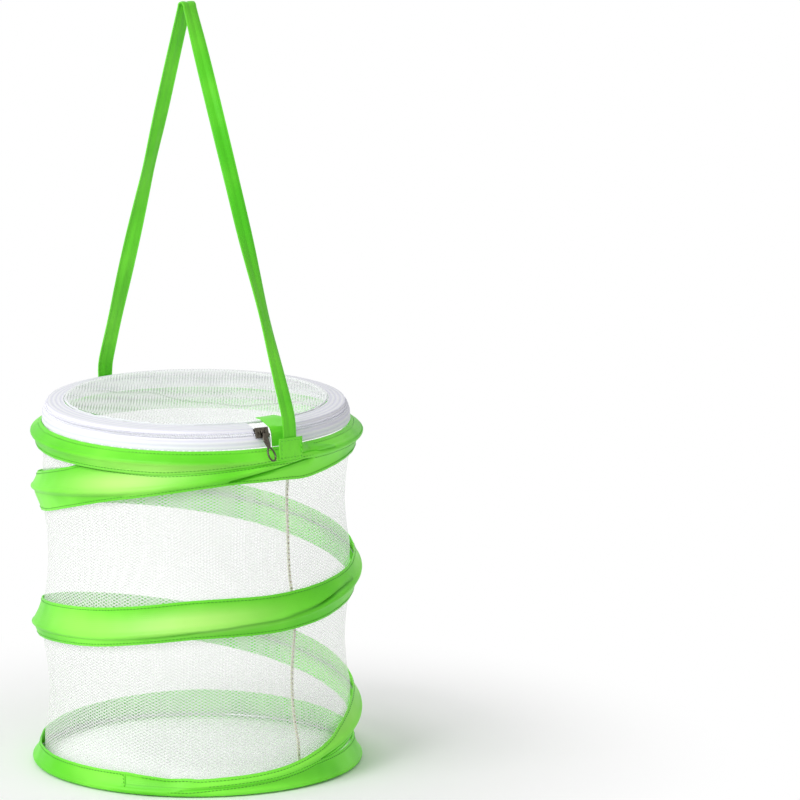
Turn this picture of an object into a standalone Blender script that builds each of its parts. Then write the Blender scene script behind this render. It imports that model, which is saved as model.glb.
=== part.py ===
"""Pop-up insect cage: a spring wire in fabric casings holds a netting tube open, with a zip-off net lid and a strap.

Metres, +Z up. The origin is the centre of the underside. The strap's plane is XZ, and the lid's hinge and the
zip's gap are at +X. Angles are in degrees, counted from +X towards +Y. Run it in Blender.
"""
import math

import bmesh
import bpy
from mathutils import Matrix, Vector

MM = 0.001

# Driving dimensions: the frame
CROWN_RADIUS = 150 * MM       # outside of the casing, over the wire
RING_RISE = 302 * MM        # from the bottom ring to the top ring
BOTTOM_WIRE_Z = 3.6 * MM
WIRE_RADIUS = 0.9 * MM
CASING_ROOM = 1.4 * MM        # free space round the wire inside its casing
FABRIC = 0.8 * MM             # thickness of the green fabric with its seam allowance
SEAM_GAP = 0.4 * MM           # between two pieces that are sewn together
CASING_GAP = 0.7 * MM         # between two casings, up the cage
MITRE = 7.5                   # degrees between two sections of a ring
SLEEVE_WALL = 0.5 * MM
SLEEVE_PLAY = 0.4 * MM

# Driving dimensions: casings, net and floor
FACE_DEPTH = 14.5 * MM        # how far a casing draws in towards the net, if it ran on for ever
FACE_FADE = 21 * MM           # over this distance from its wire
SEAM_REACH = 19 * MM          # usual width of a casing's face
HOOK_WIDTH = 3.3 * MM         # least face of a ring's casing, where the climbing wire crosses it
TOP_UPPER_WIDTH = 9.5 * MM
TOP_UPPER_DEPTH = 10.5 * MM
TOP_LOWER_WIDTH = 11.5 * MM
NET_THICKNESS = 0.8 * MM
NET_SHOULDER = 7.4 * MM       # least distance of the net inside the crown
NET_STEP = 12 * MM            # least height between two wires that the net's rows follow
NET_BACK = 21 * MM            # the net stays as far in as a casing is at this distance from its wire
FLOOR_THICKNESS = 1.2 * MM
FLOOR_SEAM = 5.8 * MM         # from the crown in to the floor's seam
SEAM_AZIMUTH = 4              # degrees: upright seam of the net
TAPE_WIDTH = 5 * MM
TAPE_THICKNESS = 0.6 * MM

# Driving dimensions: zip and lid
ZIP_INSET = 13.6 * MM         # from the crown in to the zip line
ZIP_RISE = 22.4 * MM            # zip line above the top ring's wire
ZIP_TILT = 25                 # degrees that the zip leans in
COIL_RADIUS = 1.1 * MM
COIL_SPLIT = 1.6 * MM         # slot between the two coils, where the slider's divider runs
ZIP_TAPE = 0.8 * MM
STOP_WIDTH = 1.2 * MM
LID_INSET = 17.4 * MM         # from the zip line in to the lid's rim
LID_RISE = 30 * MM            # lid's rim above the top ring's wire
RIM_WIDTH = 3.4 * MM
RIM_THICKNESS = 2.2 * MM
LID_SAG = 5 * MM              # the lid's net is slack
LID_NET_THICKNESS = 0.8 * MM
MESH_PITCH = 21 * MM          # the net's own gaps are far finer
MESH_THREAD = 1.3 * MM
FOLD_AZIMUTH = 102.5          # degrees: the lid folds back along the chord through here
FOLD_GAP = 0.4 * MM
HINGE_TAB_WIDTH = 26 * MM
HINGE_TAB_INSET = 11 * MM     # how far the tab reaches in over the lid

# Driving dimensions: slider and pull
SLIDER_AZIMUTH = -9.2         # degrees: closed
SLIDER_LENGTH = 13 * MM
SLIDER_PLATE = 1.2 * MM
SLIDER_PLAY = 0.7 * MM
FLANGE_WIDTH = 1.0 * MM
DIVIDER_LENGTH = 2.6 * MM
LUG_HEIGHT = 4.2 * MM
LUG_WIDTH = 2.2 * MM
PULL_PIN_RADIUS = 0.5 * MM
EYE_PLAY = 0.3 * MM
EYE_WALL = 0.8 * MM
PULL_LENGTH = 29 * MM
PULL_WIDTH = 7.2 * MM
PULL_THICKNESS = 1.4 * MM
PULL_OVER_LUGS = 2 * MM       # how much wider the pull is than the lugs that hold it
PULL_HANG = 31                # degrees that the pull leans out over the casing
PULL_LEAN = 8                 # degrees that it hangs askew

# Driving dimensions: strap
STRAP_HEIGHT = 698 * MM       # top of the strap above the ground
STRAP_WIDTH = 14 * MM
STRAP_THICKNESS = 1.2 * MM
STRAP_INSET = 1.5 * MM        # from the crown in to the middle of the strap's foot
STRAP_FOOT_RISE = 17 * MM     # strap's swing axis above the top ring's wire
STRAP_UPRIGHT = 18 * MM       # each leg rises this far before it leans in
STRAP_BEND = 6 * MM           # and bends over about this length
STRAP_LEAN = 7.5 * MM         # how far the top of the strap hangs over to one side
STRAP_PEAK_WIDTH = 9 * MM     # width of the fold at the top of the strap
STRAP_BACK_AZIMUTH = 180      # degrees
PATCH_WIDTH = 25 * MM
PATCH_UPPER = 18.5 * MM       # patch above the ring's wire, and below it
PATCH_LOWER = 1.5 * MM
PATCH_THICKNESS = 0.7 * MM

# Heights of the climbing wire, as shares of RING_RISE, at degrees counted on over its turns
wire_height_shares = (
    (-60, 0.0), (-45, 0.0), (-35.5, 0.017), (-3.5, 0.043), (21.5, 0.086), (54.5, 0.146), (144.5, 0.289),
    (234.5, 0.4125), (288.5, 0.455), (324.5, 0.4945), (362.5, 0.5155), (414.5, 0.578), (504.5, 0.7035),
    (594.5, 0.8285), (684.5, 0.937), (718.5, 0.9875), (731, 1.0), (750, 1.0),
)
# Widths of the helix casing's upper and lower face, as shares of SEAM_REACH, at the same degrees
upper_face_shares = (
    (-60, 0.52), (-35.5, 0.25), (-3.5, 0.20), (21.5, 0.30), (54.5, 0.92), (144.5, 0.97), (234.5, 1.16),
    (324.5, 1.36), (414.5, 0.76), (504.5, 0.72), (594.5, 0.68), (612, 0.85), (629, 1.1), (642, 1.35),
    (684.5, 1.4), (720, 0.9), (750, 0.9),
)
lower_face_shares = (
    (-60, 0.3), (-3.5, 0.3), (54.5, 0.9), (144.5, 0.9), (234.5, 0.66), (290, 0.5), (324.5, 0.46), (414.5, 0.95),
    (504.5, 1.0), (594.5, 1.15), (615, 1.1), (631, 0.85), (652, 0.48), (664, 0.38), (684.5, 0.3), (699.5, 0.38),
    (711, 0.55), (722.5, 0.93), (732, 0.9), (741, 0.8), (750, 0.6),
)
# Widths of the bottom casing's upper face, as shares of SEAM_REACH, and how far up the space below the climbing
# wire its seam with the helix casing runs, at degrees round the ring
bottom_face_shares = (
    (-60, 0.55), (-3.5, 0.75), (54.5, 1.0), (104.5, 1.2), (144.5, 1.3), (186.5, 1.1), (234.5, 0.58),
    (266.5, 0.53), (300, 0.55),
)
valley_shares = ((-60, 0.7), (-3.5, 0.72), (21.5, 0.7), (54.5, 0.42), (104.5, 0.42))

# Worked out from these
WIRE_RING = CROWN_RADIUS - FABRIC - CASING_ROOM - WIRE_RADIUS
CROWN_BEND = CROWN_RADIUS - WIRE_RING
CROWN_HALF = CROWN_BEND * 0.65
WIRE_NEST = 2 * WIRE_RADIUS + SEAM_GAP
TOP_WIRE_Z = BOTTOM_WIRE_Z + RING_RISE
HELIX_START = wire_height_shares[0][0]
HELIX_END = wire_height_shares[-1][0]
NEST_FLAT, NEST_EASE = 15, 35   # degrees
RING_STEPS = round(360 / MITRE)
ZIP_RADIUS = CROWN_RADIUS - ZIP_INSET
LID_RIM_RADIUS = ZIP_RADIUS - LID_INSET
STRAP_FOOT_RADIUS = CROWN_RADIUS - STRAP_INSET
FOLD_X = LID_RIM_RADIUS * math.cos(math.radians(FOLD_AZIMUTH))
LID_Z = TOP_WIRE_Z + LID_RISE
ZIP_Z = TOP_WIRE_Z + ZIP_RISE
SAGITTA = CROWN_RADIUS * (1 - math.cos(math.radians(MITRE / 2)))
NET_TOP = TOP_WIRE_Z + TOP_UPPER_WIDTH - SEAM_GAP * 2
COIL_OFFSET = COIL_SPLIT / 2 + COIL_RADIUS
TAPE_START = COIL_OFFSET + COIL_RADIUS + SEAM_GAP
SLIDER_HALF = COIL_OFFSET + COIL_RADIUS + SLIDER_PLAY + FLANGE_WIDTH
TAB_HALF = math.degrees(HINGE_TAB_WIDTH / 2 / ZIP_RADIUS)
ZIP_CLEAR = math.degrees(SEAM_GAP / ZIP_RADIUS)
LUG_SPAN = PULL_WIDTH - PULL_OVER_LUGS
PIVOT_OUT = COIL_RADIUS + SLIDER_PLAY + SLIDER_PLATE + LUG_HEIGHT / 2


def smooth_through(stations, x):
    """A smooth curve through hand-picked (x, value) stations, level beyond both ends."""
    if x <= stations[0][0]:
        return stations[0][1]
    for (x0, y0), (x1, y1) in zip(stations, stations[1:]):
        if x <= x1:
            break
    else:
        return stations[-1][1]
    at = [s[0] for s in stations].index(x0)
    before = stations[max(at - 1, 0)]
    after = stations[min(at + 2, len(stations) - 1)]
    slope0 = (y1 - before[1]) / (x1 - before[0])
    slope1 = (after[1] - y0) / (after[0] - x0)
    width = x1 - x0
    t = (x - x0) / width
    value = y0 * (2 * t**3 - 3 * t**2 + 1) + y1 * (3 * t**2 - 2 * t**3)
    value += width * (slope0 * (t**3 - 2 * t**2 + t) + slope1 * (t**3 - t**2))
    return min(max(value, min(y0, y1)), max(y0, y1))


def ease(t):
    t = min(max(t, 0.0), 1.0)
    return t * t * (3 - 2 * t)


def at_angle(radius, degrees, z):
    a = math.radians(degrees)
    return Vector((radius * math.cos(a), radius * math.sin(a), z))


def material(name, colour, roughness=0.7, metallic=0.0, alpha=1.0):
    found = bpy.data.materials.get(name)
    if found:
        return found
    made = bpy.data.materials.new(name)
    made.use_nodes = True
    shader = made.node_tree.nodes["Principled BSDF"]
    shader.inputs["Base Color"].default_value = (*colour, 1.0)
    shader.inputs["Roughness"].default_value = roughness
    shader.inputs["Metallic"].default_value = metallic
    shader.inputs["Alpha"].default_value = alpha
    made.diffuse_color = (*colour, alpha)
    return made


GREEN = ("lime fabric", (0.20, 0.80, 0.05), 0.65)
WHITE = ("white fabric", (0.88, 0.89, 0.88), 0.8)
NET = ("white netting", (0.93, 0.93, 0.93), 0.8, 0.0, 0.3)
ZIP_CLOTH = ("zip tape", (0.80, 0.80, 0.86), 0.75)
ZIP_NYLON = ("zip nylon", (0.90, 0.90, 0.92), 0.4)
CREAM = ("cream tape", (0.82, 0.84, 0.66), 0.8)
STEEL = ("spring steel", (0.45, 0.45, 0.47), 0.3, 1.0)
DARK_METAL = ("dark metal", (0.10, 0.09, 0.07), 0.35, 0.9)


def add_object(name, data, finish):
    obj = bpy.data.objects.new(name, data)
    bpy.data.collections["insect_cage"].objects.link(obj)
    data.materials.clear()
    data.materials.append(material(*finish))
    return obj


def sheet(name, finish, columns, rows, place, thickness, closed=False):
    """A cloth sheet: a grid whose columns run round the cage and whose rows run up it, placed by place(u, v) with
    u and v from 0 to 1, and given its thickness inwards."""
    bm = bmesh.new()
    bmesh.ops.create_grid(bm, x_segments=columns, y_segments=rows, size=0.5)
    for vert in bm.verts:
        vert.co = place(vert.co.x + 0.5, vert.co.y + 0.5)
    if closed:
        bmesh.ops.remove_doubles(bm, verts=bm.verts, dist=FABRIC / 100)
    mesh = bpy.data.meshes.new(name)
    bm.to_mesh(mesh)
    bm.free()
    mesh.shade_smooth()
    obj = add_object(name, mesh, finish)
    wall = obj.modifiers.new("wall", "SOLIDIFY")
    wall.thickness = thickness
    wall.offset = -1
    return obj


def casing(name, start, end, section, finish=GREEN, thickness=FABRIC, step=MITRE):
    """A sheet whose cross-section, a list of (radius, z) from bottom to top, may change with the angle."""
    columns = max(1, round((end - start) / step))
    rows = len(section(start)) - 1

    def place(u, v):
        angle = start + (end - start) * u
        radius, z = section(angle)[round(v * rows)]
        return at_angle(radius, angle, z)

    return sheet(name, finish, columns, rows, place, thickness, closed=end - start >= 360)


def wire(name, points, radius, finish, cyclic=False, resolution=1):
    curve = bpy.data.curves.new(name, "CURVE")
    curve.dimensions = "3D"
    curve.bevel_depth = radius
    curve.bevel_resolution = resolution
    curve.use_fill_caps = not cyclic
    spline = curve.splines.new("POLY")
    spline.points.add(len(points) - 1)
    for point, co in zip(spline.points, points):
        point.co = (*co, 1.0)
    spline.use_cyclic_u = cyclic
    return add_object(name, curve, finish)


def wire_height(turn_angle):
    return BOTTOM_WIRE_Z + RING_RISE * smooth_through(wire_height_shares, turn_angle)


def wire_centre_radius(turn_angle):
    """The climbing wire nests inside each ring at its ends."""
    leave = ease((turn_angle - HELIX_START - NEST_FLAT) / NEST_EASE)
    arrive = ease((HELIX_END - NEST_FLAT - turn_angle) / NEST_EASE)
    return WIRE_RING - WIRE_NEST * (1 - min(leave, arrive))


def face_radius(z, wire_z):
    """Outer radius of a casing at height z: round over its wire, then sloping in towards the net."""
    away = abs(z - wire_z)
    face = CROWN_RADIUS - FACE_DEPTH * (1 - math.exp(-away / FACE_FADE))
    if away < CROWN_BEND:
        face = max(face, WIRE_RING + math.sqrt(CROWN_BEND**2 - away**2))
    return face


def spread(low, middle, high):
    """Five heights from low to high, three of them round the wire as far as they fit."""
    least = FABRIC
    heights = [middle - CROWN_HALF, middle, middle + CROWN_HALF]
    floor = low
    for i in range(len(heights)):
        heights[i] = max(heights[i], floor + least)
        floor = heights[i]
    ceiling = high
    for i in reversed(range(len(heights))):
        heights[i] = min(heights[i], ceiling - least)
        ceiling = heights[i]
    return [low, *heights, high]


def bottom_seam(angle):
    """Height of the bottom casing's upper edge."""
    turn_angle = (angle - HELIX_START) % 360 + HELIX_START
    width = SEAM_REACH * smooth_through(bottom_face_shares, turn_angle)
    room = wire_height(turn_angle) - BOTTOM_WIRE_Z
    valley = max(room * smooth_through(valley_shares, turn_angle), HOOK_WIDTH)
    return BOTTOM_WIRE_Z + min(width, valley)


def top_seam(angle):
    """Height of the top casing's lower edge."""
    last = HELIX_END - 360
    turn_angle = (angle - last) % 360 + last
    if turn_angle < last + MITRE / 2:
        turn_angle = HELIX_END
    room = TOP_WIRE_Z - wire_height(turn_angle)
    return TOP_WIRE_Z - min(TOP_LOWER_WIDTH, max(room / 2, HOOK_WIDTH))


def bottom_section(angle):
    lip = (CROWN_RADIUS - FLOOR_SEAM, BOTTOM_WIRE_Z - CROWN_BEND)
    under = (WIRE_RING, BOTTOM_WIRE_Z - CROWN_BEND)
    round_off = CROWN_BEND * math.sqrt(0.5)
    shoulder = (WIRE_RING + round_off, BOTTOM_WIRE_Z - round_off)
    crown = (CROWN_RADIUS, BOTTOM_WIRE_Z)
    bend = BOTTOM_WIRE_Z + CROWN_HALF
    seam = bottom_seam(angle)
    return [
        lip, under, shoulder, crown,
        (face_radius(bend, BOTTOM_WIRE_Z), bend),
        (face_radius(seam, BOTTOM_WIRE_Z), seam),
    ]


def helix_section(turn_angle):
    wire_z = wire_height(turn_angle)
    low = wire_z - SEAM_REACH * smooth_through(lower_face_shares, turn_angle)
    high = wire_z + SEAM_REACH * smooth_through(upper_face_shares, turn_angle)
    if turn_angle <= HELIX_START + 360:
        low = max(low, bottom_seam(turn_angle) + CASING_GAP)
    if turn_angle >= HELIX_END - 360 + MITRE:
        high = min(high, top_seam(turn_angle) - CASING_GAP)
    high = max(high, low + 5 * FABRIC)
    return [(face_radius(z, wire_z), z) for z in spread(low, wire_z, high)]


def top_section(angle):
    seam = TOP_WIRE_Z + TOP_UPPER_WIDTH
    heights = spread(top_seam(angle), TOP_WIRE_Z, seam)
    section = [(face_radius(z, TOP_WIRE_Z), z) for z in heights[:4]]
    section.append((CROWN_RADIUS - TOP_UPPER_DEPTH, seam))
    return section


def frame_wires():
    ring = [i * 2 * MITRE for i in range(RING_STEPS // 2)]
    wire("bottom_ring_wire", [at_angle(WIRE_RING, a, BOTTOM_WIRE_Z) for a in ring], WIRE_RADIUS, STEEL, True)
    wire("top_ring_wire", [at_angle(WIRE_RING, a, TOP_WIRE_Z) for a in ring], WIRE_RADIUS, STEEL, True)
    steps = round((HELIX_END - HELIX_START) / (2 * MITRE))
    angles = [HELIX_START + i * 2 * MITRE for i in range(steps + 1)]
    points = [at_angle(wire_centre_radius(a), a, wire_height(a)) for a in angles]
    wire("helix_wire", points, WIRE_RADIUS, STEEL)
    turn = round(360 / (2 * MITRE))
    gap = min((p - q).length for p, q in zip(points, points[turn:])) - 2 * WIRE_RADIUS
    print(f"helix_wire: least gap between turns {gap / MM:.1f} mm")


def wire_sleeve(name, start, wire_z):
    """A crimped clip round the ring's wire and the climbing wire's end, open on its inner side."""
    inner = WIRE_RADIUS + SLEEVE_PLAY
    outer = inner + SLEEVE_WALL
    nested = WIRE_RING - WIRE_NEST
    corners = ((nested, -0.75), (nested, -0.5), (WIRE_RING, -0.5), (WIRE_RING, -0.25), (WIRE_RING, 0))
    outline = []
    for centre, half_turns in corners:
        a = math.pi * half_turns
        outline.append((centre + outer * math.cos(a), outer * math.sin(a)))
    outline += [(r, -z) for r, z in reversed(outline[:-1])]
    outline = [(r, wire_z + z) for r, z in outline]
    casing(name, start, start + 2 * MITRE, lambda angle: outline, STEEL, SLEEVE_WALL, 2 * MITRE)


def casings():
    casing("bottom_band", HELIX_START, HELIX_START + 360, bottom_section)
    casing("helix_band", HELIX_START, HELIX_END, helix_section)
    casing("top_band", 0, 360, top_section)


def net_levels(angle):
    """Heights of the wires above one another at an angle, from the bottom ring to the top ring. Next to a ring the
    climbing wire counts as the ring's own."""
    levels = [BOTTOM_WIRE_Z]
    for turn in range(3):
        height = wire_height(angle + 360 * turn)
        if height - BOTTOM_WIRE_Z < NET_STEP:
            height = BOTTOM_WIRE_Z
        if TOP_WIRE_Z - height < NET_STEP:
            height = TOP_WIRE_Z
        levels.append(height)
    return [*levels, TOP_WIRE_Z]


def net_radius(z, levels):
    """The net runs close behind the casings and draws in between them."""
    behind = FABRIC + 2 * SEAM_GAP + SAGITTA
    nearest, next_one = sorted(abs(z - level) for level in set(levels))[:2]
    away = max(nearest, min(next_one, NET_BACK))
    radius = min(face_radius(away, 0) - behind, CROWN_RADIUS - NET_SHOULDER)
    top_share = ease((z - TOP_WIRE_Z + TOP_UPPER_WIDTH) / TOP_UPPER_WIDTH)
    return radius + (min(radius, CROWN_RADIUS - TOP_UPPER_DEPTH - behind) - radius) * top_share


net_row_shares = (0, 0.17, 0.5, 0.83)


def net_heights(angle):
    """Heights of the net's rows at an angle: they follow the wires."""
    levels = net_levels(angle)
    heights = [FLOOR_THICKNESS + SEAM_GAP]
    for low, high in zip(levels, levels[1:]):
        heights += [low + (high - low) * share for share in net_row_shares]
    return [*heights, TOP_WIRE_Z, NET_TOP]


def wall_net():
    rows = len(net_heights(0)) - 1

    def place(u, v):
        angle = HELIX_START + 360 * u
        levels = net_levels(angle)
        z = net_heights(angle)[round(v * rows)]
        return at_angle(net_radius(z, levels), angle, z)

    sheet("wall_net", NET, RING_STEPS, rows, place, NET_THICKNESS, closed=True)


def wall_seam_tape():
    """Binding over the net's upright seam, on the inside."""
    heights = net_heights(SEAM_AZIMUTH)
    levels = net_levels(SEAM_AZIMUTH)
    heights = [z for z, after in zip(heights, [*heights[1:], math.inf]) if after - z > FABRIC]
    half = math.degrees(TAPE_WIDTH / 2 / CROWN_RADIUS)
    inset = NET_THICKNESS + 2 * SEAM_GAP

    def place(u, v):
        z = heights[round(v * (len(heights) - 1))]
        return at_angle(net_radius(z, levels) - inset, SEAM_AZIMUTH + half * (2 * u - 1), z)

    sheet("wall_seam_tape", CREAM, 1, len(heights) - 1, place, TAPE_THICKNESS)


def floor_panel():
    bpy.ops.mesh.primitive_cylinder_add(
        vertices=RING_STEPS,
        radius=CROWN_RADIUS - FLOOR_SEAM - SEAM_GAP,
        depth=FLOOR_THICKNESS,
        location=(0, 0, FLOOR_THICKNESS / 2),
    )
    take_over("floor_panel", WHITE)


def take_over(name, finish):
    """Names the primitive just added and files it with the other pieces."""
    obj = bpy.context.object
    obj.name = name
    obj.data.name = name
    for holder in obj.users_collection:
        holder.objects.unlink(obj)
    bpy.data.collections["insect_cage"].objects.link(obj)
    obj.data.materials.append(material(*finish))
    return obj


def zip_point(along, out=0.0):
    """(radius, z) at a distance up the zip's tape from its centre line, and out from it."""
    tilt = math.radians(ZIP_TILT)
    radius = ZIP_RADIUS - along * math.sin(tilt) + out * math.cos(tilt)
    return radius, ZIP_Z + along * math.cos(tilt) + out * math.sin(tilt)


def lower_zip_profile(top):
    """From the top casing's seam up to a distance below the zip's centre line."""
    half = ZIP_TAPE / 2
    foot_radius = CROWN_RADIUS - TOP_UPPER_DEPTH - FABRIC / 2
    foot_z = TOP_WIRE_Z + TOP_UPPER_WIDTH + SEAM_GAP
    return [(foot_radius + half, foot_z), zip_point(-SLIDER_HALF - SEAM_GAP, half), zip_point(-top, half)]


def upper_zip_profile(bottom):
    """From a distance above the zip's centre line in to the lid's rim."""
    half = ZIP_TAPE / 2
    rim = (LID_RIM_RADIUS + SEAM_GAP + half, LID_Z - RIM_THICKNESS / 2)
    return [zip_point(bottom, half), zip_point(SLIDER_HALF + SEAM_GAP, half), rim]


def coil(name, start, end, along):
    steps = max(1, round((end - start) / MITRE))
    radius, z = zip_point(along)
    points = [at_angle(radius, start + (end - start) * i / steps, z) for i in range(steps + 1)]
    wire(name, points, COIL_RADIUS, ZIP_NYLON)


def frame_zip():
    start = TAB_HALF + ZIP_CLEAR
    casing("frame_zip_tape", start, 360 - start, lambda a: lower_zip_profile(TAPE_START), ZIP_CLOTH, ZIP_TAPE)
    stop = start + math.degrees(STOP_WIDTH / ZIP_RADIUS) + ZIP_CLEAR
    coil("frame_zip_coil", stop, 360 - stop, -COIL_OFFSET)
    casing("frame_hinge_tab", -TAB_HALF, TAB_HALF, lambda a: lower_zip_profile(SEAM_GAP), GREEN, ZIP_TAPE, TAB_HALF)
    for name, angle in (("zip_stop_start", start), ("zip_stop_end", -start)):
        centre = angle + math.copysign(math.degrees(STOP_WIDTH / 2 / ZIP_RADIUS), angle)
        radius, z = zip_point(-COIL_OFFSET)
        bpy.ops.mesh.primitive_cube_add(size=1, location=at_angle(radius, centre, z))
        obj = take_over(name, DARK_METAL)
        obj.data.transform(Matrix.Diagonal((2 * COIL_RADIUS, STOP_WIDTH, 2 * COIL_RADIUS, 1)))
        obj.rotation_euler = (0, -math.radians(ZIP_TILT), math.radians(centre))
        soften = obj.modifiers.new("edges", "BEVEL")
        soften.width = COIL_RADIUS / 3
        soften.segments = 1


def lid_halves():
    """Angles of the lid's near and far half, and each one's side of the fold."""
    fold = FOLD_AZIMUTH
    gap = math.degrees(FOLD_GAP / ZIP_RADIUS)
    return (("near", -fold + gap, fold - gap, 1), ("far", fold + gap, 360 - fold - gap, -1))


def ring_roll(name, start, end, finish):
    """A solid roll along the lid's rim: six sides, turned about Z."""
    half = RIM_THICKNESS / 2
    outline = (
        (LID_RIM_RADIUS, -half), (LID_RIM_RADIUS - half, 0), (LID_RIM_RADIUS - RIM_WIDTH + half, 0),
        (LID_RIM_RADIUS - RIM_WIDTH, -half), (LID_RIM_RADIUS - RIM_WIDTH + half, -RIM_THICKNESS),
        (LID_RIM_RADIUS - half, -RIM_THICKNESS),
    )
    bm = bmesh.new()
    verts = [bm.verts.new(at_angle(r, start, LID_Z + z)) for r, z in outline]
    face = bm.faces.new(verts)
    steps = max(1, round((end - start) / MITRE))
    bmesh.ops.spin(
        bm, geom=[face, *face.edges, *face.verts], cent=(0, 0, 0), axis=(0, 0, 1),
        angle=math.radians(end - start), steps=steps, use_merge=False, use_duplicate=False,
    )
    bmesh.ops.recalc_face_normals(bm, faces=bm.faces)
    mesh = bpy.data.meshes.new(name)
    bm.to_mesh(mesh)
    bm.free()
    return add_object(name, mesh, finish)


def clip(polygon, inside, cross):
    """The part of a convex polygon where inside(point) is positive; cross gives the point on the border."""
    kept = []
    for p, q in zip(polygon, polygon[1:] + polygon[:1]):
        if inside(p) >= 0:
            kept.append(p)
        if (inside(p) >= 0) != (inside(q) >= 0):
            kept.append(cross(p, q))
    return kept


def clip_to(polygon, distance):
    """Clips a polygon by a line given as a signed distance."""

    def border(p, q):
        t = distance(p) / (distance(p) - distance(q))
        return p + (q - p) * t

    return clip(polygon, distance, border)


def disc_lines(radius):
    """Signed distances to the sides of a regular polygon round the lid's centre."""
    inner = radius * math.cos(math.radians(MITRE / 2))
    angles = [math.radians(MITRE * (i + 0.5)) for i in range(RING_STEPS)]
    return [lambda p, n=Vector((math.cos(a), math.sin(a))): inner - p.dot(n) for a in angles]


def lid_net(name, side):
    """Half of the lid's netting: a flat outline with its gaps, sagging towards its middle."""
    edge = LID_RIM_RADIUS - RIM_WIDTH - 2 * SEAM_GAP
    reach = edge * 1.5

    def fold(inset):
        return lambda p: side * (p.x - FOLD_X) - FOLD_GAP / 2 - inset

    square = [Vector((-reach, -reach)), Vector((reach, -reach)), Vector((reach, reach)), Vector((-reach, reach))]
    outline = square
    for line in [*disc_lines(edge), fold(0)]:
        outline = clip_to(outline, line)
    gaps = []
    hole = MESH_PITCH - MESH_THREAD
    half = hole / math.sqrt(2)
    step = MESH_PITCH * math.sqrt(2)
    count = math.ceil(edge / step) + 1
    centres = []
    for i in range(-count, count + 1):
        for j in range(-count, count + 1):
            centres.append(Vector((i * step, j * step)))
            centres.append(Vector(((i + 0.5) * step, (j + 0.5) * step)))
    inner_lines = [*disc_lines(edge - 2 * MESH_THREAD), fold(MESH_THREAD)]
    for centre in centres:
        diamond = [centre + Vector(d) * half for d in ((1, 0), (0, 1), (-1, 0), (0, -1))]
        for line in inner_lines:
            diamond = clip_to(diamond, line) if diamond else diamond
        if len(diamond) > 2 and polygon_area(diamond) > MESH_THREAD * hole:
            gaps.append(diamond)
    curve = bpy.data.curves.new(name, "CURVE")
    curve.dimensions = "2D"
    curve.fill_mode = "BOTH"
    curve.extrude = LID_NET_THICKNESS / 2
    for ring in [outline, *gaps]:
        spline = curve.splines.new("POLY")
        spline.points.add(len(ring) - 1)
        for point, co in zip(spline.points, ring):
            point.co = (co.x, co.y, 0, 1)
        spline.use_cyclic_u = True
    flat = bpy.data.objects.new(name, curve)
    bpy.data.collections["insect_cage"].objects.link(flat)
    graph = bpy.context.evaluated_depsgraph_get()
    mesh = bpy.data.meshes.new_from_object(flat.evaluated_get(graph))
    bpy.data.objects.remove(flat)
    bm = bmesh.new()
    bm.from_mesh(mesh)
    bmesh.ops.remove_doubles(bm, verts=bm.verts, dist=MESH_THREAD / 100)
    for vert in bm.verts:
        vert.co.z += LID_Z - RIM_THICKNESS / 2 - LID_SAG * (1 - (vert.co.xy.length / edge) ** 2)
    bmesh.ops.recalc_face_normals(bm, faces=bm.faces)
    bm.to_mesh(mesh)
    bm.free()
    print(f"{name}: {len(gaps)} gaps")
    return add_object(name, mesh, NET)


def polygon_area(polygon):
    total = 0
    for p, q in zip(polygon, polygon[1:] + polygon[:1]):
        total += (p.x * q.y - q.x * p.y) / 2
    return abs(total)


def lid():
    begin = TAB_HALF + ZIP_CLEAR
    park = -SLIDER_AZIMUTH + math.degrees((SLIDER_LENGTH / 2 + SEAM_GAP) / ZIP_RADIUS)
    for half, start, end, side in lid_halves():
        lid_net(f"lid_net_{half}", side)
        ring_roll(f"lid_rim_binding_{half}", start, end, WHITE)
        if half == "far":
            casing(f"lid_zip_tape_{half}", start, end, lambda a: upper_zip_profile(TAPE_START), ZIP_CLOTH, ZIP_TAPE)
            coil(f"lid_zip_coil_{half}", start, end, COIL_OFFSET)
            continue
        for hand, low, high in (("left", begin, end), ("right", start, -park)):
            name = f"{half}_{hand}"
            casing(f"lid_zip_tape_{name}", low, high, lambda a: upper_zip_profile(TAPE_START), ZIP_CLOTH, ZIP_TAPE)
            coil(f"lid_zip_coil_{name}", low, high, COIL_OFFSET)
    casing("lid_hinge_tab", -TAB_HALF, TAB_HALF, hinge_tab_section, GREEN, ZIP_TAPE, TAB_HALF)


def hinge_tab_section(angle):
    """From the hinge line up over the lid's rim."""
    over = LID_Z + SEAM_GAP + ZIP_TAPE
    return [
        zip_point(SEAM_GAP, ZIP_TAPE / 2),
        zip_point((LID_RISE - ZIP_RISE) / 2, ZIP_TAPE),
        (LID_RIM_RADIUS + RIM_THICKNESS / 2, over),
        (LID_RIM_RADIUS - RIM_WIDTH, over),
        (LID_RIM_RADIUS - HINGE_TAB_INSET, over),
    ]


def zip_frame(azimuth):
    """Placement on the zip's line: X out of the tape, Y along the zip, Z up the tape."""
    radius, z = zip_point(0)
    place = Matrix.Translation(at_angle(radius, azimuth, z))
    turn = Matrix.Rotation(math.radians(azimuth), 4, "Z")
    tilt = Matrix.Rotation(-math.radians(ZIP_TILT), 4, "Y")
    return place @ turn @ tilt


def block(name, size, centre):
    """A plain block mesh, as a helper for a Boolean union."""
    bpy.ops.mesh.primitive_cube_add(size=1)
    obj = take_over(name, DARK_METAL)
    obj.data.transform(Matrix.Translation(centre) @ Matrix.Diagonal((*size, 1)))
    return obj


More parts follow.
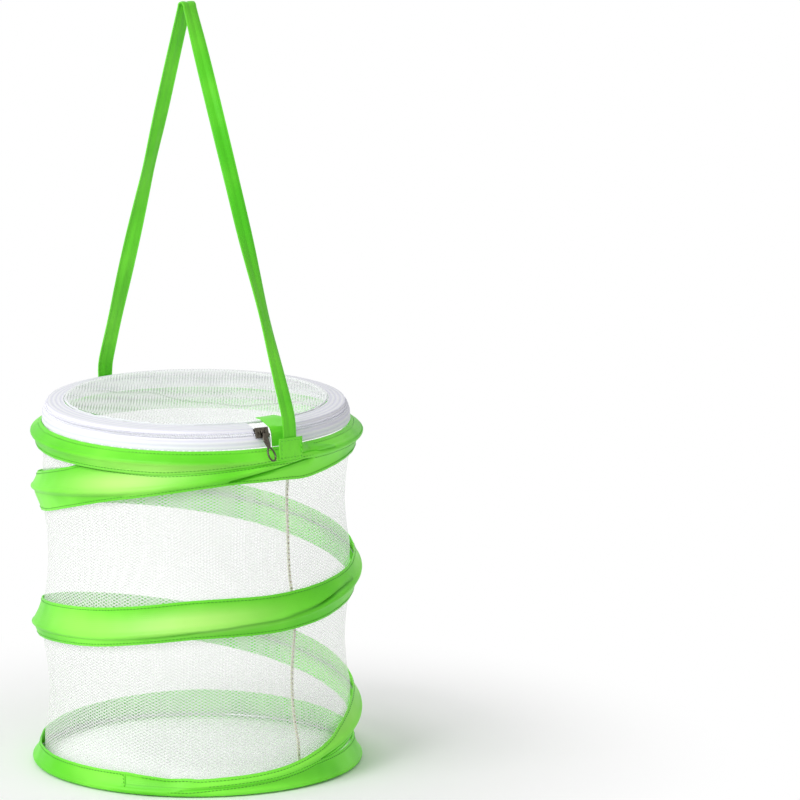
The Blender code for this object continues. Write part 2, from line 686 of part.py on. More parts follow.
def joined(body, others):
    """Unites helper shapes with body, each by a Boolean, and files them as cutters."""
    for other in others:
        for holder in other.users_collection:
            holder.objects.unlink(other)
        bpy.data.collections["helpers"].objects.link(other)
        other.hide_render = True
        other.display_type = "WIRE"
        union = body.modifiers.new("join", "BOOLEAN")
        union.operation = "UNION"
        union.object = other
    return body


def zip_slider():
    frame = zip_frame(SLIDER_AZIMUTH)
    room = COIL_RADIUS + SLIDER_PLAY
    plate = (SLIDER_PLATE, SLIDER_LENGTH, 2 * SLIDER_HALF)
    out = room + SLIDER_PLATE / 2
    lip = room - ZIP_TAPE / 2 - SLIDER_PLAY
    overlap = SLIDER_PLATE / 4
    outer = block("zip_slider", plate, (out, 0, 0))
    helpers = [block("inner plate", plate, (-out, 0, 0))]
    nose = COIL_SPLIT - 2 * SEAM_GAP
    helpers.append(
        block("divider", (2 * (room + overlap), DIVIDER_LENGTH, nose), (0, (DIVIDER_LENGTH - SLIDER_LENGTH) / 2, 0))
    )
    for face in (1, -1):
        for edge in (1, -1):
            size = (lip + overlap, SLIDER_LENGTH, FLANGE_WIDTH)
            centre = (face * (room - lip / 2 + overlap / 2), 0, edge * (SLIDER_HALF - FLANGE_WIDTH / 2))
            helpers.append(block(f"flange {face} {edge}", size, centre))
    lug_out = room + SLIDER_PLATE
    for edge in (1, -1):
        size = (LUG_HEIGHT + overlap, LUG_WIDTH / 2, LUG_WIDTH)
        centre = (lug_out + (LUG_HEIGHT - overlap) / 2, edge * (LUG_SPAN - LUG_WIDTH / 2) / 2, 0)
        helpers.append(block(f"lug {edge}", size, centre))
    bpy.ops.mesh.primitive_cylinder_add(vertices=8, radius=PULL_PIN_RADIUS, depth=LUG_SPAN - LUG_WIDTH / 4)
    pin = take_over("pull pin", DARK_METAL)
    pin.data.transform(Matrix.Translation((PIVOT_OUT, 0, 0)) @ Matrix.Rotation(math.pi / 2, 4, "X"))
    helpers.append(pin)
    joined(outer, helpers)
    for obj in [outer, *helpers]:
        obj.matrix_world = frame
    soften = outer.modifiers.new("edges", "BEVEL")
    soften.width = SLIDER_PLATE / 5
    soften.segments = 1
    soften.limit_method = "ANGLE"


def zip_pull_tab():
    """A flat pull with an eye round the slider's pin and a loop at its lower end, hanging over the casing."""
    eye_out = PULL_PIN_RADIUS + EYE_PLAY
    eye_half = LUG_SPAN / 2 - LUG_WIDTH / 2 - SEAM_GAP
    curve = bpy.data.curves.new("zip_pull_tab", "CURVE")
    curve.dimensions = "2D"
    curve.fill_mode = "BOTH"
    curve.extrude = PULL_THICKNESS / 2
    half = PULL_WIDTH / 2
    bar = PULL_WIDTH / 5
    neck = eye_out + PULL_THICKNESS * 1.6
    shoulder = neck + PULL_WIDTH / 2
    begin = eye_out + EYE_WALL / 3
    outline = [(-eye_half, begin), (-eye_half, neck), (-half, shoulder), (-half, PULL_LENGTH - half)]
    outline += arc(half, PULL_LENGTH - half, 6)
    outline += [(half, PULL_LENGTH - half), (half, shoulder), (eye_half, neck), (eye_half, begin)]
    loop_start = PULL_LENGTH * 0.52
    inner = half - bar
    hole = [(-inner, loop_start), (-inner, PULL_LENGTH - half)]
    hole += arc(inner, PULL_LENGTH - half, 4)
    hole += [(inner, PULL_LENGTH - half), (inner, loop_start)]
    for ring in (outline, hole):
        spline = curve.splines.new("POLY")
        spline.points.add(len(ring) - 1)
        for point, (across, down) in zip(spline.points, ring):
            point.co = (across, -down, 0, 1)
        spline.use_cyclic_u = True
    flat = add_object("pull plate", curve, DARK_METAL)
    graph = bpy.context.evaluated_depsgraph_get()
    mesh = bpy.data.meshes.new_from_object(flat.evaluated_get(graph))
    bpy.data.objects.remove(flat)
    bm = bmesh.new()
    bm.from_mesh(mesh)
    bmesh.ops.remove_doubles(bm, verts=bm.verts, dist=PULL_THICKNESS / 1000)
    bm.to_mesh(mesh)
    bm.free()
    mesh.transform(Matrix.Rotation(math.pi / 2, 4, "Z") @ Matrix.Rotation(math.pi / 2, 4, "X"))
    obj = add_object("zip_pull_tab", mesh, DARK_METAL)
    eye_rings = []
    for radius, wide in ((eye_out + EYE_WALL, eye_half), (eye_out, eye_half * 2)):
        bpy.ops.mesh.primitive_cylinder_add(vertices=12, radius=radius, depth=2 * wide)
        ring = take_over(f"eye {radius:.5f}", DARK_METAL)
        ring.data.transform(Matrix.Rotation(math.pi / 2, 4, "X"))
        eye_rings.append(ring)
    joined(obj, eye_rings)
    obj.modifiers[-1].operation = "DIFFERENCE"
    hang = Matrix.Rotation(-math.radians(PULL_HANG - ZIP_TILT), 4, "Y")
    lean = Matrix.Rotation(math.radians(PULL_LEAN), 4, "X")
    place = zip_frame(SLIDER_AZIMUTH) @ Matrix.Translation((PIVOT_OUT, 0, 0)) @ hang @ lean
    for item in [obj, *eye_rings]:
        item.matrix_world = place


def arc(radius, down, steps):
    """Points of the pull's round end, from its left side to its right, both left out."""
    points = []
    for i in range(1, steps):
        a = math.pi * i / steps
        points.append((-radius * math.cos(a), down + radius * math.sin(a)))
    return points


def strap_route():
    """Centre line of the strap, from the front foot over the top to the back foot. It leans a little towards -Y."""
    foot_z = TOP_WIRE_Z + STRAP_FOOT_RISE
    peak_z = STRAP_HEIGHT - STRAP_THICKNESS / 2
    half_peak = STRAP_PEAK_WIDTH / 2
    rise = peak_z - half_peak - foot_z

    def inward(z):
        away = z - STRAP_UPRIGHT
        return (away + math.hypot(away, STRAP_BEND)) / 2

    points = []
    steps = 15
    for i in range(steps + 1):
        t = (i / steps) ** 1.25
        share = inward(rise * t) / inward(rise)
        x = STRAP_FOOT_RADIUS + (half_peak - STRAP_FOOT_RADIUS) * share
        points.append(Vector((x, -STRAP_LEAN * t, foot_z + rise * t)))
    for i in range(1, 4):
        a = math.pi / 2 * i / 4
        points.append(Vector((half_peak * math.cos(a), -STRAP_LEAN, peak_z - half_peak + half_peak * math.sin(a))))
    points.append(Vector((0, -STRAP_LEAN, peak_z)))
    mirrored = [Vector((-p.x, p.y, p.z)) for p in reversed(points[:-1])]
    return points + mirrored


def carry_strap():
    """A flat ribbon that follows the route, folded a little along its middle, with round ends on the swing axis."""
    route = strap_route()
    half = STRAP_WIDTH / 2
    crease = STRAP_THICKNESS * 0.6
    foot_z = route[0].z
    end_steps = 3
    lowest = [Vector((route[0].x, 0, foot_z)), Vector((route[-1].x, 0, foot_z))]
    stations = []
    for i in range(end_steps):
        a = math.pi / 2 * (i + 0.35) / end_steps
        stations.append((lowest[0] - Vector((0, 0, half * math.cos(a))), half * math.sin(a)))
    for point in route:
        stations.append((point, half))
    for i in reversed(range(end_steps)):
        a = math.pi / 2 * (i + 0.35) / end_steps
        stations.append((lowest[1] - Vector((0, 0, half * math.cos(a))), half * math.sin(a)))
    last = len(stations) - 1
    fade = end_steps + 3

    def place(u, v):
        at = round(v * last)
        point, wide = stations[at]
        before = stations[max(at - 1, 0)][0]
        after = stations[min(at + 1, last)][0]
        if at <= end_steps or at >= last - end_steps:
            normal = Vector((math.copysign(1, point.x), 0, 0))
        else:
            along = (after - before).normalized()
            normal = Vector((along.z, 0, -along.x))
        share = 2 * u - 1
        fold = crease * min(1, max(0, min(at, last - at) - end_steps) / fade)
        return point + Vector((0, share * wide, 0)) + normal * (STRAP_THICKNESS / 2 - fold * abs(share))

    bm = bmesh.new()
    bmesh.ops.create_grid(bm, x_segments=2, y_segments=last, size=0.5)
    for vert in bm.verts:
        vert.co = place(vert.co.x + 0.5, vert.co.y + 0.5)
    mesh = bpy.data.meshes.new("carry_strap")
    bm.to_mesh(mesh)
    bm.free()
    obj = add_object("carry_strap", mesh, GREEN)
    wall = obj.modifiers.new("wall", "SOLIDIFY")
    wall.thickness = STRAP_THICKNESS
    wall.offset = -1
    length = sum((q - p).length for p, q in zip(route, route[1:]))
    print(f"carry_strap: {length / MM:.0f} mm between its feet")


def patch_section(angle):
    """Over the strap's end, then down over the casing's crown."""
    strap_face = STRAP_FOOT_RADIUS + STRAP_THICKNESS / 2 + SEAM_GAP + PATCH_THICKNESS
    crown = CROWN_RADIUS + SEAM_GAP + PATCH_THICKNESS
    return [
        (crown, TOP_WIRE_Z - PATCH_LOWER),
        (crown, TOP_WIRE_Z + CROWN_HALF),
        (max(strap_face, crown - SEAM_GAP), TOP_WIRE_Z + (CROWN_HALF + PATCH_UPPER) / 2),
        (strap_face, TOP_WIRE_Z + PATCH_UPPER),
    ]


def strap_patches():
    half = math.degrees(PATCH_WIDTH / 2 / CROWN_RADIUS)
    casing("strap_patch_front", -half, half, patch_section, GREEN, PATCH_THICKNESS, half)
    back = STRAP_BACK_AZIMUTH
    casing("strap_patch_back", back - half, back + half, patch_section, GREEN, PATCH_THICKNESS, half)


def main():
    for obj in list(bpy.data.objects):
        bpy.data.objects.remove(obj, do_unlink=True)
    for name in ("insect_cage", "helpers"):
        made = bpy.data.collections.new(name)
        bpy.context.scene.collection.children.link(made)
    bpy.data.collections["helpers"].hide_render = True
    floor_panel()
    frame_wires()
    wire_sleeve("bottom_wire_sleeve", HELIX_START, BOTTOM_WIRE_Z)
    wire_sleeve("top_wire_sleeve", HELIX_END - 2 * MITRE, TOP_WIRE_Z)
    casings()
    wall_net()
    wall_seam_tape()
    frame_zip()
    lid()
    zip_slider()
    zip_pull_tab()
    carry_strap()
    strap_patches()


main()
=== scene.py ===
import math

import bmesh
import bpy
from mathutils import Matrix, Vector


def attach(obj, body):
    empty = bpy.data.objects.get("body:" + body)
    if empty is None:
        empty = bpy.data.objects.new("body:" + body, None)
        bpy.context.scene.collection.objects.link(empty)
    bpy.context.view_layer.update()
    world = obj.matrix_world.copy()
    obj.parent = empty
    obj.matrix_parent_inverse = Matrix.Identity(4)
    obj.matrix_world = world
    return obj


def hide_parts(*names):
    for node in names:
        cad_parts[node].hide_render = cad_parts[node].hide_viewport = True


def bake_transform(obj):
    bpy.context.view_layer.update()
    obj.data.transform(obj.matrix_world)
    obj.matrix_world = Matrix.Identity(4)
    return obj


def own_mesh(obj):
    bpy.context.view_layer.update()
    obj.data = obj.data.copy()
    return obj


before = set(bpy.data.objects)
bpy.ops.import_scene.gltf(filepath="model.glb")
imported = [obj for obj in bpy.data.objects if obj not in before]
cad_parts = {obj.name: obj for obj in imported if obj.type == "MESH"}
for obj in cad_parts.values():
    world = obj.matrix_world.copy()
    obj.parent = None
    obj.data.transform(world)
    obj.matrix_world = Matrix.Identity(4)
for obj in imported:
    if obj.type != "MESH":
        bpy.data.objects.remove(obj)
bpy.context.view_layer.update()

mm = 0.001


# colours, nodes and objects


def linear(hexColour):
    # sRGB hex to the linear values that Blender's sockets take
    parts = [int(hexColour[i:i + 2], 16) / 255 for i in (1, 3, 5)]
    return tuple(v / 12.92 if v <= 0.04045 else ((v + 0.055) / 1.055) ** 2.4 for v in parts) + (1.0,)


def plug(tree, node, links):
    # a node in place of a value stands for its first output
    for key, value in links.items():
        if isinstance(value, bpy.types.Node):
            value = value.outputs[0]
        if isinstance(value, bpy.types.NodeSocket):
            tree.links.new(value, node.inputs[key])
        else:
            node.inputs[key].default_value = value


def addNode(tree, kind, links={}, **settings):
    node = tree.nodes.new(kind)
    for key, value in settings.items():
        setattr(node, key, value)
    plug(tree, node, links)
    return node


def blankMaterial(name):
    made = bpy.data.materials.new(name)
    made.use_nodes = True
    return made, made.node_tree, made.node_tree.nodes["Principled BSDF"]


def addObject(name, data):
    obj = bpy.data.objects.new(name, data)
    bpy.context.scene.collection.objects.link(obj)
    return obj


# forms shared with the CAD model, in metres and degrees

cage = {
    "crown": 150 * mm,        # outside of the casing, over the wire
    "wireRing": 146.9 * mm,   # centre of the wire
    "crownBend": 3.1 * mm,    # radius of the casing's bend round the wire
    "lowWire": 3.6 * mm,
    "highWire": 305.6 * mm,
    "faceDepth": 14.5 * mm,   # how far a casing draws in away from its wire
    "faceFade": 21 * mm,
    "reach": 19 * mm,
    "helixStart": -60,
    "helixEnd": 786,          # the casing runs on a little past its wire
    "wireEnd": 750,
    "underTop": 397.5,        # from here on the climbing casing can reach the top one
    "casingLap": 0.8 * mm,    # how far one casing reaches under the next
    "leastWidth": 4 * mm,     # the narrowest that the climbing casing gets
    "hook": 3.3 * mm,         # the least that a ring's casing reaches past its wire
    "fabric": 0.8 * mm,       # thickness of a casing
    "topDrop": 11.5 * mm,     # the top casing below its wire, and above it
    "topRise": 9.5 * mm,
    "droop": 5.5 * mm, "droopAt": 38, "droopWidth": 34,   # it hangs lower on one side
}
# how high the wire has climbed at each turn angle, then how wide the casings' faces are
wireHeights = (
    (-60, 0.0), (-45, 0.0), (-35.5, 0.017), (-3.5, 0.043), (21.5, 0.086), (54.5, 0.146), (144.5, 0.289),
    (234.5, 0.4125), (288.5, 0.455), (324.5, 0.4945), (362.5, 0.5155), (414.5, 0.578), (504.5, 0.7035),
    (594.5, 0.8285), (684.5, 0.937), (718.5, 0.9875), (731, 1.0), (786, 1.0),
)
upperFaces = (
    (-60, 0.8), (-45, 0.65), (-39.5, 0.53), (-33, 0.36), (-3.5, 0.29), (16, 0.36), (23.5, 0.5), (30.5, 0.7),
    (54.5, 0.95), (144.5, 0.97), (234.5, 1.16),
    (324.5, 1.36), (414.5, 0.76), (504.5, 0.72), (594.5, 0.68), (612, 0.85), (629, 1.1), (642, 1.35),
    (684.5, 1.4), (720, 0.9), (786, 0.9),
)
lowerFaces = (
    (-60, 0.3), (-3.5, 0.3), (54.5, 0.9), (144.5, 0.9), (234.5, 0.66), (290, 0.5), (324.5, 0.46),
    (414.5, 0.95), (504.5, 1.0), (594.5, 1.15), (615, 1.1), (631, 0.85), (652, 0.48), (664, 0.38),
    (684.5, 0.3), (699.5, 0.44), (711, 0.74), (720, 0.97), (728.5, 1.2), (739, 1.1), (750, 0.96),
    (765, 0.88), (786, 0.78),
)
bottomFaces = (
    (-60, 0.55), (-3.5, 0.75), (54.5, 1.0), (104.5, 1.2), (144.5, 1.3), (186.5, 1.1), (234.5, 0.84),
    (266.5, 0.78), (300, 0.8),
)
valleys = ((-60, 0.7), (-3.5, 0.72), (21.5, 0.7), (54.5, 0.42), (104.5, 0.42))


def through(stations, x):
    # a smooth curve through (x, value) pairs, level beyond both ends
    if x <= stations[0][0]:
        return stations[0][1]
    if x >= stations[-1][0]:
        return stations[-1][1]
    at = max(i for i, s in enumerate(stations[:-1]) if s[0] <= x)
    (x0, y0), (x1, y1) = stations[at], stations[at + 1]
    before, after = stations[max(at - 1, 0)], stations[min(at + 2, len(stations) - 1)]
    slope0 = (y1 - before[1]) / (x1 - before[0])
    slope1 = (after[1] - y0) / (after[0] - x0)
    width = x1 - x0
    t = (x - x0) / width
    value = y0 * (2 * t**3 - 3 * t**2 + 1) + y1 * (3 * t**2 - 2 * t**3)
    value += width * (slope0 * (t**3 - 2 * t**2 + t) + slope1 * (t**3 - t**2))
    return min(max(value, min(y0, y1)), max(y0, y1))


def ease(t):
    t = min(max(t, 0.0), 1.0)
    return t * t * (3 - 2 * t)


def polar(radius, degrees, z):
    a = math.radians(degrees)
    return Vector((radius * math.cos(a), radius * math.sin(a), z))


def wrapped(angle, first):
    # the same direction, within one turn from the first angle
    return (angle - first) % 360 + first


def wireHeight(turnAngle):
    return cage["lowWire"] + (cage["highWire"] - cage["lowWire"]) * through(wireHeights, turnAngle)


def faceRadius(z, wireZ):
    away = abs(z - wireZ)
    face = cage["crown"] - cage["faceDepth"] * (1 - math.exp(-away / cage["faceFade"]))
    if away < cage["crownBend"]:
        face = max(face, cage["wireRing"] + math.sqrt(cage["crownBend"] ** 2 - away**2))
    return face


def bottomSeam(angle):
    turnAngle = wrapped(angle, cage["helixStart"])
    width = cage["reach"] * through(bottomFaces, turnAngle)
    room = wireHeight(turnAngle) - cage["lowWire"]
    return cage["lowWire"] + min(width, max(room * through(valleys, turnAngle), cage["hook"]))


def topSeam(angle):
    room = cage["highWire"] - wireHeight(wrapped(angle, cage["helixEnd"] - 360))
    side = wrapped(angle - cage["droopAt"], -180)
    drop = cage["topDrop"] + cage["droop"] * math.exp(-((side / cage["droopWidth"]) ** 4))
    return cage["highWire"] - min(drop, max(room / 2, cage["hook"]))


# each casing's lower edge, wire and upper edge


def bottomEdges(angle):
    return -1, cage["lowWire"], bottomSeam(angle)   # its lower edge is out of reach, under the floor


def helixEdges(turnAngle):
    wireZ = wireHeight(turnAngle)
    low = wireZ - cage["reach"] * through(lowerFaces, turnAngle)
    high = wireZ + cage["reach"] * through(upperFaces, turnAngle)
    if turnAngle <= cage["helixStart"] + 360:
        low = max(low, bottomSeam(max(turnAngle, cage["helixStart"])) - cage["casingLap"])
    if turnAngle >= cage["underTop"]:
        high = min(high, topSeam(min(turnAngle, cage["helixEnd"] - 0.01)) + cage["casingLap"])
    return low, wireZ, max(high, low + cage["leastWidth"])


def topEdges(angle):
    return topSeam(angle), cage["highWire"], cage["highWire"] + cage["topRise"]


def ripple(angle, z, scale):
    # soft hand-sewn unevenness: a few sines that never line up
    a = math.radians(angle)
    value = math.sin(7 * a + 90 * z) + 0.7 * math.sin(17 * a - 160 * z + 1.3)
    value += 0.5 * math.sin(41 * a + 60 * z + 2.1)
    return value * scale / 2.2


# mesh helpers


def gridMesh(name, points, uvs, closed, **marks):
    # points[column][row], columns running round and rows running up; each mark is a float for each point
    columns, rows = len(points), len(points[0])
    verts = [tuple(p) for column in points[:columns - closed] for p in column]
    faces, corners = [], []
    for i in range(columns - 1):
        for j in range(rows - 1):
            ring = [(i, j), (i + 1, j), (i + 1, j + 1), (i, j + 1)]
            faces.append([(a % (columns - closed)) * rows + b for a, b in ring])
            corners += [uvs[a][b] for a, b in ring]
    mesh = bpy.data.meshes.new(name)
    mesh.from_pydata(verts, [], faces)
    layer = mesh.uv_layers.new(name="cloth")
    layer.data.foreach_set("uv", [c for uv in corners for c in uv])
    for label, values in marks.items():
        mark = mesh.attributes.new(label, "FLOAT", "POINT")
        mark.data.foreach_set("value", [m for column in values[:columns - closed] for m in column])
    mesh.shade_smooth()
    return addObject(name, mesh)


def surface(name, columns, rows, spotOf, closed=False):
    # spotOf(share along, share up) gives a point and its place on the flat cloth, and for some pieces
    # its hem mark
    grid = [[spotOf(i / columns, j / rows) for j in range(rows + 1)] for i in range(columns + 1)]
    points, uvs, *hems = ([[spot[k] for spot in column] for column in grid] for k in range(len(grid[0][0])))
    return gridMesh(name, points, uvs, closed, **({"hem": hems[0]} if hems else {}))


def closeMiddle(obj):
    # fills the pinhole that is left in the middle of a round
    shell = bmesh.new()
    shell.from_mesh(obj.data)
    pinhole = [e for e in shell.edges if e.is_boundary and e.verts[0].co.xy.length < 1 * mm]
    bmesh.ops.holes_fill(shell, edges=pinhole, sides=0)
    shell.to_mesh(obj.data)
    shell.free()
    obj.data.shade_smooth()
    return obj


def settle(obj, sharp=42):
    # turns the modifiers' result into a plain mesh
    graph = bpy.context.evaluated_depsgraph_get()
    mesh = bpy.data.meshes.new_from_object(obj.evaluated_get(graph))
    obj.modifiers.clear()
    obj.data = mesh
    if sharp:
        mesh.set_sharp_from_angle(angle=math.radians(sharp))
    return obj


def walled(obj, thickness):
    wall = obj.modifiers.new("wall", "SOLIDIFY")
    wall.thickness = thickness
    wall.offset = -1
    return settle(obj)


def dress(obj, finish):
    obj.data.materials.clear()
    obj.data.materials.append(finish)
    return obj


def pathObject(name, lines):
    # lines of points as bare edges, for Geometry Nodes to follow
    verts, edges = [], []
    for line in lines:
        start = len(verts)
        verts += [tuple(p) for p in line]
        edges += [(start + i, start + i + 1) for i in range(len(line) - 1)]
    mesh = bpy.data.meshes.new(name)
    mesh.from_pydata(verts, edges, [])
    return addObject(name, mesh)


def beadTree(name, finish):
    # small rounded beads along a path: stitches, or the loops of a zip's coil
    tree = bpy.data.node_groups.new(name, "GeometryNodeTree")
    tree.interface.new_socket("Path", in_out="INPUT", socket_type="NodeSocketGeometry")
    for label in ("Pitch", "Length", "Width", "Height"):
        tree.interface.new_socket(label, in_out="INPUT", socket_type="NodeSocketFloat")
    tree.interface.new_socket("Beads", in_out="OUTPUT", socket_type="NodeSocketGeometry")
    given = addNode(tree, "NodeGroupInput")
    pitch, *sides = (given.outputs[label] for label in ("Pitch", "Length", "Width", "Height"))
    curve = addNode(tree, "GeometryNodeMeshToCurve", {"Mesh": given.outputs["Path"]})
    spots = addNode(tree, "GeometryNodeCurveToPoints", {"Curve": curve, "Length": pitch}, mode="LENGTH")
    turn = addNode(tree, "FunctionNodeAlignRotationToVector", {"Vector": spots.outputs["Tangent"]}, axis="X")
    size = addNode(tree, "ShaderNodeCombineXYZ", dict(zip("XYZ", sides)))
    bead = addNode(tree, "GeometryNodeMeshUVSphere", {"Segments": 6, "Rings": 4, "Radius": 0.5})
    shaped = addNode(tree, "GeometryNodeTransform", {"Geometry": bead.outputs["Mesh"], "Scale": size})
    placed = addNode(tree, "GeometryNodeInstanceOnPoints",
                     {"Points": spots.outputs["Points"], "Instance": shaped, "Rotation": turn})
    real = addNode(tree, "GeometryNodeRealizeInstances", {"Geometry": placed})
    smooth = addNode(tree, "GeometryNodeSetShadeSmooth", {"Geometry": real})
    painted = addNode(tree, "GeometryNodeSetMaterial", {"Geometry": smooth, "Material": finish})
    addNode(tree, "NodeGroupOutput", {"Beads": painted})
    return tree


def beads(obj, tree, sizes):
    made = obj.modifiers.new("beads", "NODES")
    made.node_group = tree
    for item in tree.interface.items_tree:
        if item.in_out == "INPUT" and item.name in sizes:
            made[item.identifier] = sizes[item.name]
    return settle(obj, 0)


# finishes

# sun is the colour of the painted highlights
fabric = {
    "light": "#88F846", "deep": "#62D920", "sun": "#C6F884", "hem": "#74E43A", "thread": "#3F9A24",
    # fold is the colour of painted shade in the crease
    "fold": "#2F8A12",
}


def waveScale(ribWidth):
    # the wave node repeats every 0.314 of its scaled vector: here that is one rib and one gap as wide
    return 1 / ribWidth / 6.28


def limeTaffeta(name, light, deep, sun):
    # dyed polyester taffeta, plain woven and calendered: bright, even colour with a soft satin sheen, with
    # painted highlights and painted shade in the crease mixed into it
    made, tree, shader = blankMaterial(name)
    place = addNode(tree, "ShaderNodeTexCoord")
    cloud = addNode(tree, "ShaderNodeTexNoise",
                    {"Vector": place.outputs["Object"], "Scale": 9.0, "Detail": 3.0, "Roughness": 0.5})
    soft = addNode(tree, "ShaderNodeMapRange", {"Value": cloud, "From Min": 0.38, "From Max": 0.66},
                   interpolation_type="SMOOTHSTEP")
    # random patches painted in the highlight colour, as if lit by sun
    patchy = addNode(tree, "ShaderNodeTexNoise",
                     {"Vector": place.outputs["Object"], "Scale": 5.0, "Detail": 1.0})
    lit = addNode(tree, "ShaderNodeMapRange",
                  {"Value": patchy, "From Min": 0.55, "From Max": 0.75, "To Max": 0.3},
                  interpolation_type="SMOOTHSTEP")
    paintedHighlightMark = addNode(tree, "ShaderNodeAttribute", attribute_name="glow")   # painted highlight mark, set on the casings point by point
    bright = addNode(tree, "ShaderNodeMath", {0: lit, 1: paintedHighlightMark.outputs["Fac"]}, operation="MAXIMUM")
    hem = addNode(tree, "ShaderNodeAttribute", attribute_name="hem")     # mm from the nearer edge
    folded = addNode(tree, "ShaderNodeMapRange",
                     {"Value": hem.outputs["Fac"], "From Min": 2.3, "From Max": 2.0, "To Max": 0.45})
    away = addNode(tree, "ShaderNodeMath", {0: hem.outputs["Fac"], 1: 2.5}, operation="SUBTRACT")
    size = addNode(tree, "ShaderNodeMath", {0: away}, operation="ABSOLUTE")
    line = addNode(tree, "ShaderNodeMapRange",
                   {"Value": size, "From Min": 0.5, "From Max": 0.1, "To Max": 0.32})
    paintedCreaseShade = addNode(tree, "ShaderNodeAttribute", attribute_name="fold")   # painted shade in the pinched crease
    colour = linear(deep)
    for share, tint in (
        (soft, light), (bright, sun), (folded, fabric["hem"]), (line, fabric["thread"]),
        (paintedCreaseShade.outputs["Fac"], fabric["fold"]),
    ):
        mixed = addNode(tree, "ShaderNodeMix", {0: share, 6: colour, 7: linear(tint)}, data_type="RGBA")
        colour = mixed.outputs[2]
    # a thread is about 0.25 mm wide in life, drawn 0.9 mm wide so that it shows
    weave = {"Vector": place.outputs["UV"], "Scale": waveScale(0.9 * mm), "Distortion": 0.6, "Detail": 1.0}
    warp, weft = (addNode(tree, "ShaderNodeTexWave", weave, bands_direction=way) for way in "XY")
    both = addNode(tree, "ShaderNodeMath", {0: warp.outputs["Fac"], 1: weft.outputs["Fac"]},
                   operation="MULTIPLY")
    slack = addNode(tree, "ShaderNodeTexNoise",
                    {"Vector": place.outputs["Object"], "Scale": 60.0, "Detail": 2.0})
    total = addNode(tree, "ShaderNodeMath", {0: slack, 1: 3.0, 2: both}, operation="MULTIPLY_ADD")
    bump = addNode(tree, "ShaderNodeBump", {"Height": total, "Strength": 0.25, "Distance": 0.3 * mm})
    plug(tree, shader, {"Base Color": colour, "Normal": bump, "Roughness": 0.42, "Specular IOR Level": 0.25})
    return made


def nettingMaterial(name, hexColour, values):
    # warp-knitted polyester netting: bare white thread round diamond holes. The holes are about 1 mm in life,
    # drawn nearly three times as large so that they show
    made, tree, shader = blankMaterial(name)
    uv = addNode(tree, "ShaderNodeUVMap", uv_map="cloth")
    split = addNode(tree, "ShaderNodeSeparateXYZ", {"Vector": uv})
    strands = []
    for slope in (values["wide"], -values["wide"]):
        run = addNode(tree, "ShaderNodeMath", {0: split, 1: slope, 2: split.outputs["Y"]},
                      operation="MULTIPLY_ADD")
        count = addNode(tree, "ShaderNodeMath", {0: run, 1: values["pitch"]}, operation="DIVIDE")
        fold = addNode(tree, "ShaderNodeMath", {0: count, 1: 0.5}, operation="PINGPONG")
        edge = values["thread"] / 2
        strands.append(addNode(tree, "ShaderNodeMapRange",
                               {"Value": fold, "From Min": edge + 0.06, "From Max": edge - 0.06}))
    cover = addNode(tree, "ShaderNodeMath", {0: strands[0], 1: strands[1]}, operation="MAXIMUM")
    alpha = addNode(tree, "ShaderNodeMapRange",
                    {"Value": cover, "To Min": values["veil"], "To Max": values["solid"]})
    # painted shade: the lid netting turns grey along its crease
    creaseShadeMark = addNode(tree, "ShaderNodeAttribute", attribute_name="hem")
    tint = addNode(tree, "ShaderNodeMix",
                   {0: creaseShadeMark.outputs["Fac"], 6: linear(hexColour), 7: linear("#CCD3CC")}, data_type="RGBA")
    plug(tree, shader, {"Base Color": tint.outputs[2], "Alpha": alpha, "Roughness": 0.7, "Sheen Weight": 0.1})
    return made


def plainWoven(name, hexColour, ribWidth, strength, grooveShade=None):
    # plain woven polyester or cotton, undyed or dyed once: matt, with a fine rib; where a groove colour is
    # given, the rib's grooves are painted darker as shade
    made, tree, shader = blankMaterial(name)
    place = addNode(tree, "ShaderNodeTexCoord")
    grain = addNode(tree, "ShaderNodeTexNoise",
                    {"Vector": place.outputs["Object"], "Scale": 14.0, "Detail": 2.0})
    shade = tuple(c * 0.93 for c in linear(hexColour)[:3]) + (1.0,)
    tint = addNode(tree, "ShaderNodeMix", {0: grain, 6: linear(hexColour), 7: shade}, data_type="RGBA")
    rib = addNode(tree, "ShaderNodeTexWave",
                  {"Vector": place.outputs["UV"], "Scale": waveScale(ribWidth), "Distortion": 0.3},
                  bands_direction="X")
    if grooveShade:
        tint = addNode(tree, "ShaderNodeMix",
                       {0: rib.outputs["Fac"], 6: linear(grooveShade), 7: tint.outputs[2]}, data_type="RGBA")
    bump = addNode(tree, "ShaderNodeBump",
                   {"Height": rib.outputs["Fac"], "Strength": strength, "Distance": 0.2 * mm})
    plug(tree, shader, {"Base Color": tint.outputs[2], "Normal": bump, "Roughness": 0.8})
    return made


def marked(name, colours, scale, detail, gloss, metallic):
    # a smooth finish with fine marks that vary its gloss, and its colour where two are given
    made, tree, shader = blankMaterial(name)
    place = addNode(tree, "ShaderNodeTexCoord")
    marks = addNode(tree, "ShaderNodeTexNoise",
                    {"Vector": place.outputs["Object"], "Scale": scale, "Detail": detail})
    rough = addNode(tree, "ShaderNodeMapRange", {"Value": marks, "To Min": gloss[0], "To Max": gloss[1]})
    colour, *worn = map(linear, colours)
    if worn:
        mixed = addNode(tree, "ShaderNodeMix", {0: marks, 6: colour, 7: worn[0]}, data_type="RGBA")
        colour = mixed.outputs[2]
    plug(tree, shader, {"Base Color": colour, "Roughness": rough, "Metallic": metallic})
    return made


lime = limeTaffeta("limeTaffeta", fabric["light"], fabric["deep"], fabric["sun"])
# the strap's finish; its last colour is the painted highlight's
strapLime = limeTaffeta("limeTaffetaStrap", "#74E236", "#4FC81C", "#A4EC5A")
threadMaterial = plainWoven("greenSewingThread", fabric["thread"], 0.5 * mm, 0.3)
